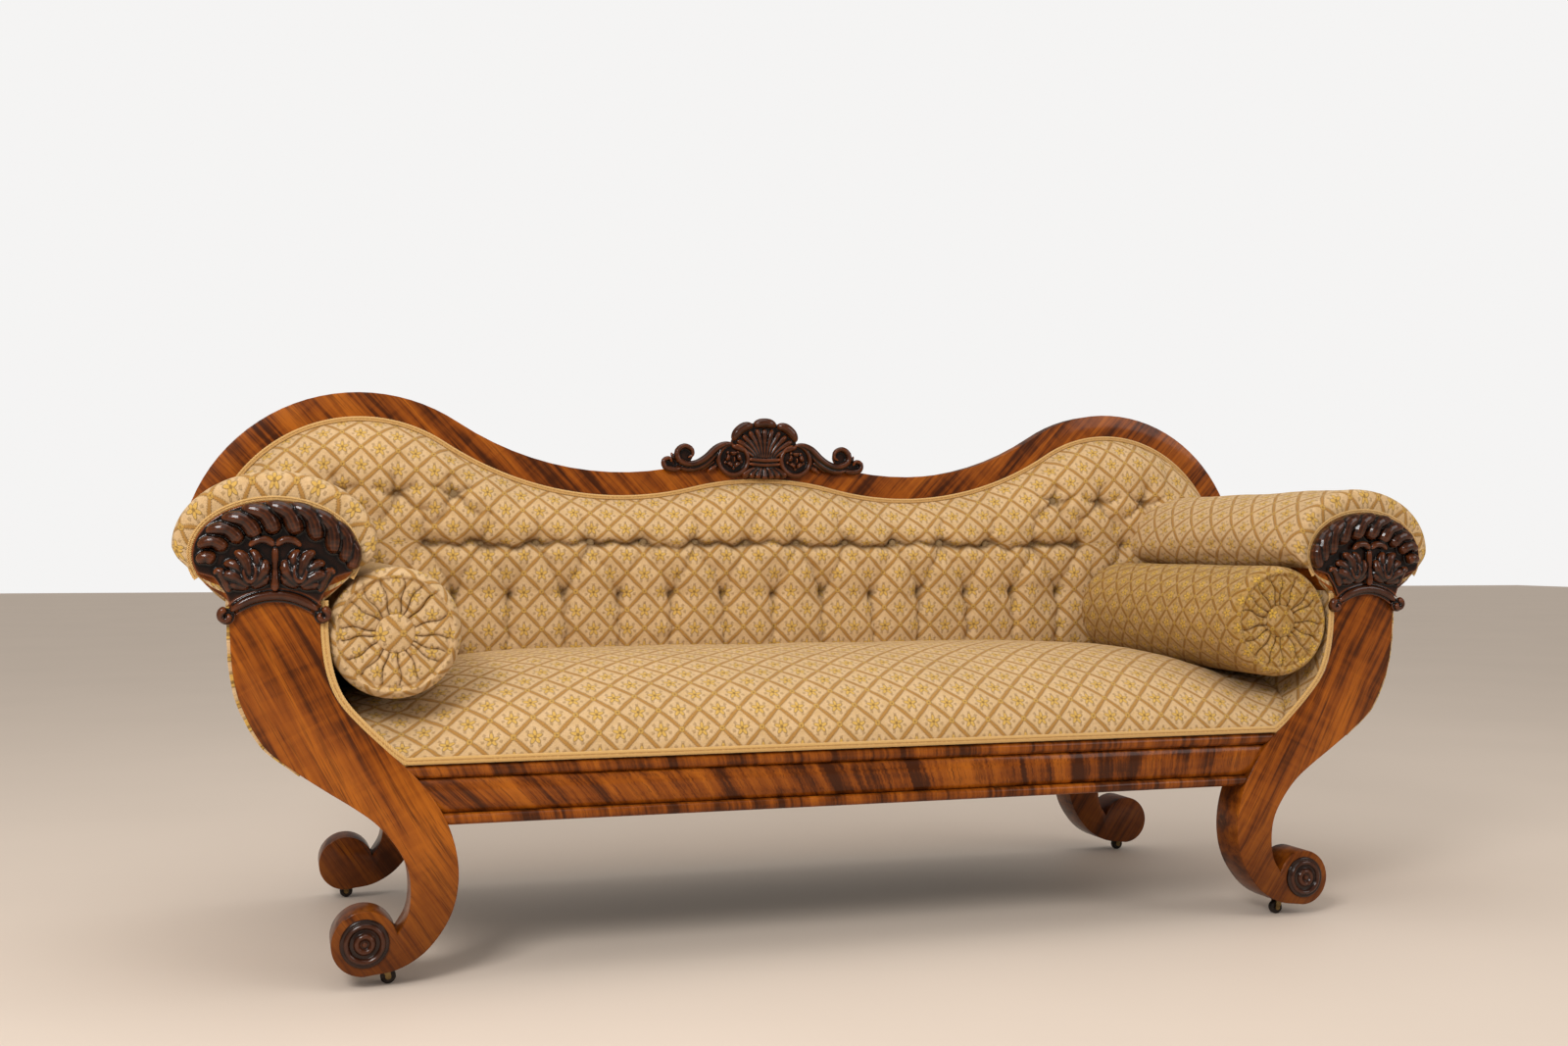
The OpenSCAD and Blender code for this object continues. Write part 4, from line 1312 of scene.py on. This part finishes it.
def carved_stroke(path, radii, y, flat=1.0):
    """A round-ended stroke of carving drawn out of a sphere along a path in the XZ plane.
    Path and radii are in millimetres; y is how far in front of the plank its middle lies."""
    deselect()
    bpy.ops.mesh.primitive_uv_sphere_add(segments=14, ring_count=max(10, 4 * len(path)), radius=1)
    stroke = bpy.context.object
    co = points_of(stroke)
    line = resampled(smooth_curve(path, 8), 80) * MM
    tangent = np.gradient(line, axis=0)
    tangent /= np.linalg.norm(tangent, axis=1, keepdims=True)
    share = (1 - co[:, 2]) / 2
    at = share * 79
    ends = np.interp(share, np.linspace(0, 1, len(radii)), radii) * MM
    ring = np.sqrt(np.maximum(1 - co[:, 2] ** 2, 1e-9))
    girth = np.sqrt(np.maximum(1 - np.abs(co[:, 2]) ** 5, 0)) / ring
    place = np.stack([np.interp(at, np.arange(80), line[:, k]) for k in range(2)], 1)
    way = np.stack([np.interp(at, np.arange(80), tangent[:, k]) for k in range(2)], 1)
    sideways = co[:, 0] * girth * ends
    forwards = co[:, 1] * girth * ends * flat
    out = np.stack([place[:, 0] - way[:, 1] * sideways,
                    -y * MM + forwards,
                    place[:, 1] + way[:, 0] * sideways], 1)
    move_points(stroke, out)
    return stroke


def carved_ground(outline, depth, y=0.0):
    """A flat ground cut to an outline, from y forwards by depth. Everything in millimetres."""
    p = np.array(outline) * MM
    count = len(p)
    back = np.stack([p[:, 0], np.full(count, -y * MM), p[:, 1]], 1)
    front = back - [0, depth * MM, 0]
    faces = [list(range(count))[::-1], list(range(count, 2 * count))]
    faces += [[i, (i + 1) % count, count + (i + 1) % count, count + i] for i in range(count)]
    piece = new_piece("ground", np.concatenate([back, front]), faces)
    face_outwards(piece)
    return piece


def carved_piece(name, strokes, place, voxel=1.3, passes=3):
    """Fuses strokes into one carving, softens it as a worn carving is, and marks its high
    points for the worn polish and its hollows for painted shade. place is where the strokes' own
    origin goes."""
    piece = joined(name, strokes)
    piece.data.remesh_voxel_size = voxel * MM
    only(piece)
    bpy.ops.object.voxel_remesh()
    modified(piece, "SMOOTH", factor=0.5, iterations=passes)
    co = points_of(piece)
    around = np.empty(len(co) * 3)
    piece.data.vertices.foreach_get("normal", around)
    store(piece, "wear_and_shade", height_above_neighbours(piece, co, around.reshape(-1, 3)))
    for extra in list(piece.data.uv_layers):
        piece.data.uv_layers.remove(extra)
    move_points(piece, co + np.array(place))
    smooth(piece)
    return piece


def height_above_neighbours(piece, co, normal):
    """0 in the hollows to 1 on the ridges."""
    edges = np.empty(len(piece.data.edges) * 2, int)
    piece.data.edges.foreach_get("vertices", edges)
    a, b = edges.reshape(-1, 2).T
    level = co.copy()
    for _ in range(8):
        total = np.zeros_like(level)
        number = np.zeros(len(level))
        for p, q in ((a, b), (b, a)):
            np.add.at(total, p, level[q])
            np.add.at(number, p, 1)
        level = total / np.maximum(number, 1)[:, None]
    ridge = ((co - level) * normal).sum(1)
    return np.clip(0.16 + ridge / (1.1 * MM), 0, 1)


def spiral(cx, cz, r0, r1, start, turns, count=14):
    """A spiral in the XZ plane from radius r0 to r1."""
    t = np.linspace(0, 1, count)
    angle = np.radians(start + 360 * turns * t)
    r = r0 + (r1 - r0) * t
    return list(zip(cx + r * np.cos(angle), cz + r * np.sin(angle)))


class SOFA_OT_arm_carvings(bpy.types.Operator):
    """Carve the capitals and collars on the arm facings"""
    bl_idname = "sofa.arm_carvings"
    bl_label = "Arm carvings"

    def execute(self, context):
        material = carved_wood()
        place = (HEAD[0], FRONT_Y, HEAD[1])
        capital = carved_piece("arm_facing_carving_right", self.capital(), place)
        collar = carved_piece("arm_collar_carving_right", self.collar(), place, 1.2, 2)
        for right, stem, node in ((capital, "arm_facing_carving", "arm_capital"),
                                  (collar, "arm_collar_carving", "arm_collar")):
            left = mirror_copy(right, stem + "_left")
            for side, piece in (("left", left), ("right", right)):
                finish_piece(piece, material, nodes=[f"{node}_{side}"])
        return {"FINISHED"}

    def capital(self):
        """Gadroons that swirl from the outer end to the inner, over two curling leaves.
        Drawn round the middle of the plank's head, outer side to +X."""
        head = ellipse(0, 0, 113, 77, 200, -20, 48)
        neck = ellipse(0, -151, 101, 101, 52, 128, 12)
        ground = carved_ground(np.concatenate([head, [(84, -33), (69, -53)], neck,
                                               [(-70, -53), (-84, -33)]]), 8)
        strokes = [ground]
        # Each gadroon swirls from a root on the rim, over a rounded bow, to its plump head
        swirl = [((107, -10), (82, -8), 9), ((106, 12), (66, 8), 10), ((95, 33), (46, 18), 11),
                 ((74, 52), (24, 24), 12), ((47, 66), (-1, 30), 12.5), ((15, 72), (-31, 29), 13),
                 ((-18, 72), (-59, 20), 13), ((-48, 65), (-82, 1), 13), ((-72, 52), (-98, -12), 12),
                 ((-93, 30), (-106, -22), 10)]
        for root, head, thick in swirl:
            root, head = np.array(root), np.array(head)
            chord = head - root
            bow = np.array([chord[1], -chord[0]]) * 0.22
            mid = (root + head) / 2 + bow
            strokes.append(carved_stroke([root, mid, head],
                                         [thick * 0.70, thick, thick * 1.1, thick * 1.1],
                                         12, 1.2))
        for side in (-1, 1):
            strokes += self.leaf(side * 34, -46, side)
        strokes.append(carved_stroke([(0, -53), (0, -22), (0, 12)], [8, 4.0, 6.0], 14))
        for side in (-1, 1):
            lip = [(0, 13), (side * 12, 21), (side * 26, 20), (side * 36, 12)]
            strokes.append(carved_stroke(lip, [5.4, 6.0, 5.6, 4.2], 16, 1.1))
            flare = [(side * 62, -54), (side * 67, -36), (side * 76, -24), (side * 84, -27)]
            strokes.append(carved_stroke(flare, [6, 7.5, 7, 5], 12))
        return strokes

    def leaf(self, cx, cz, side):
        """One curling leaf that fans up from its root round a deep eye."""
        strokes = []
        fingers = [(-60, 32), (-38, 44), (-14, 54), (10, 56), (34, 50), (56, 42), (80, 32)]
        for k, (lean, reach) in enumerate(fingers):
            way = math.radians(90 - side * lean)
            curl = way - side * math.radians(38)
            root = np.array([cx, cz])
            knee = root + 0.68 * reach * np.array([math.cos(way), math.sin(way)])
            tip = knee + 0.36 * reach * np.array([math.cos(curl), math.sin(curl)])
            strokes.append(carved_stroke([root, knee, tip], [6.0, 8.6, 9.4, 7.0],
                                         11 + (k % 2) * 3, 1.05))
        ez = cz + 21
        eye = [(cx - side * 4, ez + 13), (cx - side * 8, ez + 2), (cx - side * 6, ez - 9),
               (cx, ez - 13), (cx + side * 6, ez - 9), (cx + side * 8, ez + 2),
               (cx + side * 4, ez + 11)]
        strokes.append(carved_stroke(eye, [3.6, 4.4, 5.2, 5.4, 5.2, 4.4, 3.6], 18, 1.1))
        return strokes

    def collar(self):
        """An arched moulding that curls up at both ends, drawn round the plank's head."""
        strokes = []
        low_z = -151
        for radius, thick, y in ((92, 7.4, 7.5), (100.5, 2.6, 6.5), (83.5, 2.4, 5)):
            arch = ellipse(0, low_z, radius, radius, 49, 131, 14)
            strokes.append(carved_stroke(arch, [thick, thick], y))
        for side in (-1, 1):
            curl = spiral(side * 66, -89, 10.5, 0.2, 90, -side * 0.95, 12)
            strokes.append(carved_stroke(curl, [7.4, 6.0, 5.0, 6.8], 8, 1.15))
            strokes.append(carved_ground(ellipse(side * 66, -89, 12, 12, 0, 345, 20), 7))
        return strokes


class SOFA_OT_crest_carvings(bpy.types.Operator):
    """Carve the shell, scrolls and rosettes on the crest"""
    bl_idname = "sofa.crest_carvings"
    bl_label = "Crest carvings"

    def execute(self, context):
        material = carved_wood("carved crest", 1.3)
        shell = carved_piece("crest_shell_carving", self.shell(), (0, CREST_Y, 0), 1.1, 2)
        finish_piece(shell, material, nodes=["crest_shell"])
        scroll = carved_piece("crest_scroll_carving_right", self.scroll(), (0, CREST_Y, 0), 1.1, 2)
        rose = carved_piece("crest_rosette_carving", self.rosette(), (0, CREST_Y, 0), 0.9, 1)
        other = mirror_copy(scroll, "crest_scroll_carving_left")
        twin = mirror_copy(rose, "crest_rosette_carving_b")
        for side, piece in (("left", other), ("right", scroll)):
            finish_piece(piece, material, nodes=[f"crest_scroll_{side}"])
        roses = joined("crest_rosettes_carving", [rose, twin])
        smooth(roses)
        finish_piece(roses, material, nodes=["crest_rosettes"])
        return {"FINISHED"}

    def shell(self):
        """A fluted fan under a thick rolled rim, bound at its foot over a hanging leaf."""
        strokes = [carved_ground([(68, 852), (68, 868), (58, 888), (40, 899), (22, 905),
                                  (-22, 905), (-40, 899), (-58, 888), (-68, 868), (-68, 852),
                                  (-44, 838), (-44, 800), (44, 800), (44, 838)], 9, -1)]
        for k in range(-5, 6):
            a = math.radians(90 - 13.5 * k)
            foot = (3.4 * k, 832)
            tip = (3.4 * k + 56 * math.cos(a), 836 + 58 * math.sin(a))
            mid = ((foot[0] + tip[0]) / 2 - 1.5 * k, (foot[1] + tip[1]) / 2)
            strokes.append(carved_stroke([foot, mid, tip], [3.0, 3.6, 5.4, 6.2], 10, 1.0))
        caps = [[(-24, 899), (-9, 904), (9, 904), (24, 899)],
                [(25, 899), (43, 896), (58, 884), (67, 868)],
                [(-25, 899), (-43, 896), (-58, 884), (-67, 868)]]
        for cap in caps:
            strokes.append(carved_stroke(cap, [8.0, 10.0, 10.0, 7.5], 12, 1.05))
        for z, r in ((830, 4.2), (821, 3.8)):
            strokes.append(carved_stroke([(-34, z + 1), (0, z - 1.5), (34, z + 1)], [r, r, r], 13))
        for k in range(-3, 4):
            tip = (15.5 * k, 790 + 2.2 * abs(k))
            strokes.append(carved_stroke([(5 * k, 816), (11 * k, 806), tip],
                                         [3.4, 6.0, 8.4], 10, 1.1))
        return strokes

    def scroll(self):
        """A ribbon that runs off the rosette and curls up at its end, then a smaller curl."""
        disc = carved_ground(ellipse(66, 830, 33, 33, 0, 350, 36), 8)
        rim = spiral(66, 830, 30.5, 30.5, 100, 0.98, 26)
        upper = [(66, 862), (84, 860), (102, 851), (120, 834), (140, 822), (160, 819),
                 (178, 827), (181, 844), (168, 855), (153, 850), (150, 838), (159, 832)]
        lower = [(88, 850), (104, 838), (120, 822), (142, 811), (164, 809), (184, 815)]
        small = [(172, 811), (190, 808), (206, 813), (208, 826), (197, 830), (192, 822)]
        plate = carved_ground([(88, 852), (110, 840), (128, 824), (150, 816), (178, 822),
                               (196, 806), (150, 806), (118, 812), (92, 822)], 7)
        curl = carved_ground(ellipse(165, 838, 17, 17, 0, 345, 20), 6)
        end = carved_ground(ellipse(197, 820, 11, 11, 0, 345, 20), 6)
        web = carved_ground(ellipse(183, 818, 12, 12, 0, 345, 20), 5)
        strokes = [disc, plate, curl, end, web, carved_stroke(rim, [4.8, 4.8], 11, 1.2),
                   carved_stroke(upper, [7.4, 7.8, 7.6, 7.0, 6.6, 6.2, 5.6, 5.6], 10, 1.25),
                   carved_stroke(lower, [5.0, 6.2, 6.0, 4.4], 8, 1.2),
                   carved_stroke(small, [5.4, 6.0, 5.6, 5.0, 4.8], 9, 1.2)]
        for path in ([(104, 826), (118, 818), (132, 808)], [(98, 818), (108, 812), (118, 806)]):
            strokes.append(carved_stroke(path, [3.4, 4.8, 2.8], 8))
        strokes.append(carved_stroke([(182, 828), (190, 835), (193, 842)], [3.5, 4.2, 1.8], 7))
        return strokes

    def rosette(self):
        strokes = []
        for k in range(5):
            a = math.radians(90 + 72 * k)
            near = (66 + 8 * math.cos(a), 830 + 8 * math.sin(a))
            far = (66 + 15.5 * math.cos(a), 830 + 15.5 * math.sin(a))
            strokes.append(carved_stroke([near, far], [5.0, 7.8], 14, 0.85))
            b = a + math.radians(36)
            tip = (66 + 20 * math.cos(b), 830 + 20 * math.sin(b))
            strokes.append(carved_stroke([near, tip], [2, 3.2], 11, 0.9))
        strokes.append(carved_stroke([(65, 830), (67, 830)], [5, 5], 18))
        return strokes


def turned(name, profile, centre):
    """A piece turned on a lathe: a profile of (radius, forward) spun round the Y axis."""
    edge = [(centre[0] + r, centre[1] - f, centre[2]) for r, f in profile]
    piece = new_piece(name, edge, [])
    mesh = piece.data
    mesh.edges.add(len(edge) - 1)
    mesh.edges.foreach_set("vertices", [v for i in range(len(edge) - 1) for v in (i, i + 1)])
    mesh.update()
    with editing(piece):
        bpy.ops.mesh.spin(steps=64, angle=2 * math.pi, center=centre, axis=(0, 1, 0))
        bpy.ops.mesh.select_all(action="SELECT")
        bpy.ops.mesh.remove_doubles(threshold=WELD)
        bpy.ops.mesh.normals_make_consistent(inside=False)
    return piece


class SOFA_OT_foot_roundels(bpy.types.Operator):
    """Turn the roundels on the front feet"""
    bl_idname = "sofa.foot_roundels"
    bl_label = "Foot roundels"

    def execute(self, context):
        lo, hi = FOOT
        radius = (hi.z - lo.z) / 2
        profile = smooth_curve([(0, 9.6), (3.2, 8.8), (4.2, 6.6), (4.6, 5.2), (7, 5.6),
                                (9.5, 8.2), (12.5, 8.6), (15.2, 6.4), (16.2, 4.2), (18.5, 3.4),
                                (21.5, 3.0), (23.5, 5.6), (26.5, 7.4), (29.5, 6.0), (31, 3.8),
                                (33.5, 3.9), (35.4, 2.8), (36, 0.2)], 4) * MM
        profile[:, 0] *= radius / (36 * MM)
        profile[0, 0] = 0
        rounds = []
        for sign in SIDES.values():
            centre = (sign * (hi.x - radius), hi.y, (lo.z + hi.z) / 2)
            rounds.append(turned(f"roundel_{sign}", profile, centre))
        piece = joined("foot_roundels_turned", rounds)
        forward = hi.y - points_of(piece)[:, 1]
        # lighter on the raised rings at the front and darker in the grooves behind, kept to half
        # strength: wear on the rings and painted shade in the grooves
        store(piece, "wear_and_shade", ramp(forward, 9 * MM) * 0.5)
        smooth(piece, 60)
        finish_piece(piece, carved_wood(), nodes=["foot_roundels"])
        return {"FINISHED"}


# ---- plain parts ------------------------------------------------------------------------------

class SOFA_OT_carcase(bpy.types.Operator):
    """Finish the hidden frame, the springing and the dust cover"""
    bl_idname = "sofa.carcase"
    bl_label = "Carcase"

    def execute(self, context):
        finishes = {
            "beech_carcase": plain_material("raw beech", (0.50, 0.33, 0.17), 9.0, 0.72,
                                            spread=0.25, stretch=(1, 6, 14)),
            "jute": plain_material("jute", (0.36, 0.25, 0.13), 420.0, 0.92, relief=0.6),
            "spring_steel": plain_material("spring wire", (0.42, 0.40, 0.37), 60.0, 0.42, 1.0),
            "dust_cover": plain_material("dust cover", (0.028, 0.026, 0.025), 300.0, 0.95),
        }
        slots = {s["node"]: s["material_slot"] for s in frame["record"]["subparts"]}
        for node, piece in frame["nodes"].items():
            if slots.get(node) in finishes:
                paint(piece, finishes[slots[node]])
        return {"FINISHED"}


class SOFA_OT_castors(bpy.types.Operator):
    """Finish the castors' plates, forks and wheels"""
    bl_idname = "sofa.castors"
    bl_label = "Castors"

    def execute(self, context):
        brass = plain_material("aged brass", (0.20, 0.13, 0.05), 90.0, 0.45, 1.0, 0.45)
        iron = plain_material("worn iron", (0.035, 0.028, 0.024), 120.0, 0.5, 0.9, 0.5)
        jobs = [("castor_plates", brass), ("castor_screws", brass)]
        jobs += [(f"castor_fork_{corner}", brass) for corner in CORNERS]
        jobs += [(f"castor_wheel_{corner}", iron) for corner in CORNERS]
        for node, material in jobs:
            paint(frame["nodes"][node], material)
        return {"FINISHED"}


# ---- stage -----------------------------------------------------------------------------------

# name, place, aim, width in metres, share of the key light's power
LIGHTS = [("key", (-2.3, -2.9, 2.7), (0, 0, 0.5), 1.2, 0.85),
          ("fill", (3.2, -3.0, 2.4), (0.4, 0, 0.5), 1.8, 0.26),
          ("top", (-0.4, -0.3, 3.6), (0, 0, 0.5), 2.6, 0.28)]
CAMERA_PLACE = (-0.9453, -2.7579, 0.6578)
# how far the view turns right from +Y, tips up and rolls, in radians
CAMERA_TURN = (0.3114, 0.0141, -0.0034)


class SOFA_OT_stage(bpy.types.Operator):
    """Set the floor, the soft studio light and the camera"""
    bl_idname = "sofa.stage"
    bl_label = "Stage"

    def execute(self, context):
        settings = context.scene.sofa_stage
        deselect()
        bpy.ops.mesh.primitive_plane_add(size=40, location=(0, 0, 0))
        floor = bpy.context.object
        floor.name = "floor"
        material, g, shader = blank_material("pale floor")
        base = tuple(settings.floor)
        darker = tuple(c * 0.93 for c in base[:3]) + (1,)
        g.fill(shader, {"Base Color": g.mix(g.noise(g.place(), 1.5), darker, base),
                        "Roughness": 0.55})
        floor.data.materials.append(material)
        self.lights(context, settings)
        self.camera(context, settings)
        context.scene.view_settings.view_transform = "Standard"
        return {"FINISHED"}

    def lights(self, context, settings):
        world = bpy.data.worlds.new("studio")
        context.scene.world = world
        world.use_nodes = True
        g = Graph(world.node_tree)
        shown = world.node_tree.nodes["Background"]
        g.fill(shown, {"Color": (0.98, 0.972, 0.965, 1), "Strength": 0.93})
        soft = g.add("Background", {"Color": (1.0, 0.98, 0.95, 1), "Strength": 0.80})
        dim = g.add("Background", {"Color": (1.0, 0.96, 0.90, 1), "Strength": 0.22})
        path = g.add("LightPath").outputs
        gloss = g.add("MixShader", {0: path["Is Glossy Ray"], 1: soft.outputs[0],
                                    2: dim.outputs[0]})
        blend = g.add("MixShader", {0: path["Is Camera Ray"], 1: gloss.outputs[0],
                                    2: shown.outputs[0]})
        g.set(world.node_tree.nodes["World Output"].inputs["Surface"], blend.outputs[0])
        for name, place, aim, size, share in LIGHTS:
            data = bpy.data.lights.new(name, "AREA")
            data.size = size
            data.energy = settings.key_power * share
            lamp = bpy.data.objects.new(name, data)
            lamp.location = place
            lamp.rotation_euler = (Vector(aim) - Vector(place)).to_track_quat("-Z", "Y").to_euler()
            context.scene.collection.objects.link(lamp)

    def camera(self, context, settings):
        data = bpy.data.cameras.new("camera")
        data.sensor_width = 36
        data.lens = settings.lens
        camera = bpy.data.objects.new("camera", data)
        camera.location = CAMERA_PLACE
        yaw, rise, roll = CAMERA_TURN
        forward = Vector((math.sin(yaw) * math.cos(rise), math.cos(yaw) * math.cos(rise),
                          math.sin(rise)))
        level = Vector((math.cos(yaw), -math.sin(yaw), 0))
        upright = level.cross(forward)
        right = level * math.cos(roll) - upright * math.sin(roll)
        up = level * math.sin(roll) + upright * math.cos(roll)
        axes = np.array([right, up, -forward]).T
        camera.rotation_euler = Matrix(axes.tolist()).to_euler()
        context.scene.collection.objects.link(camera)
        context.scene.camera = camera


class SOFA_PT_panel(bpy.types.Panel):
    """Lists the sofa's pieces and settings"""
    bl_idname = "SOFA_PT_panel"
    bl_label = "Scroll-end sofa"
    bl_space_type = "VIEW_3D"
    bl_region_type = "UI"
    bl_category = "Sofa"

    def draw(self, context):
        for settings in (context.scene.sofa_wood, context.scene.sofa_cloth,
                         context.scene.sofa_stage):
            box = self.layout.box()
            for name in settings.__annotations__:
                box.prop(settings, name)
        for operator in OPERATORS:
            self.layout.operator(operator.bl_idname)


OPERATORS = (SOFA_OT_stage, SOFA_OT_carcase, SOFA_OT_end_planks, SOFA_OT_rails,
             SOFA_OT_arm_carvings, SOFA_OT_foot_roundels, SOFA_OT_crest_carvings,
             SOFA_OT_seat, SOFA_OT_back, SOFA_OT_arms, SOFA_OT_outside_covers,
             SOFA_OT_bolsters, SOFA_OT_braids, SOFA_OT_castors)
SETTINGS = {"sofa_wood": SofaWoodSettings, "sofa_cloth": SofaClothSettings,
            "sofa_stage": SofaStageSettings}


def register():
    for name, settings in SETTINGS.items():
        bpy.utils.register_class(settings)
        setattr(bpy.types.Scene, name, PointerProperty(type=settings))
    for item in OPERATORS + (SOFA_PT_panel,):
        bpy.utils.register_class(item)


def unregister():
    for item in reversed(OPERATORS + (SOFA_PT_panel,)):
        bpy.utils.unregister_class(item)
    for name, settings in SETTINGS.items():
        delattr(bpy.types.Scene, name)
        bpy.utils.unregister_class(settings)


def main():
    register()
    for operator in OPERATORS:
        family, name = operator.bl_idname.split(".")
        getattr(getattr(bpy.ops, family), name)()


if __name__ == "__main__":
    main()
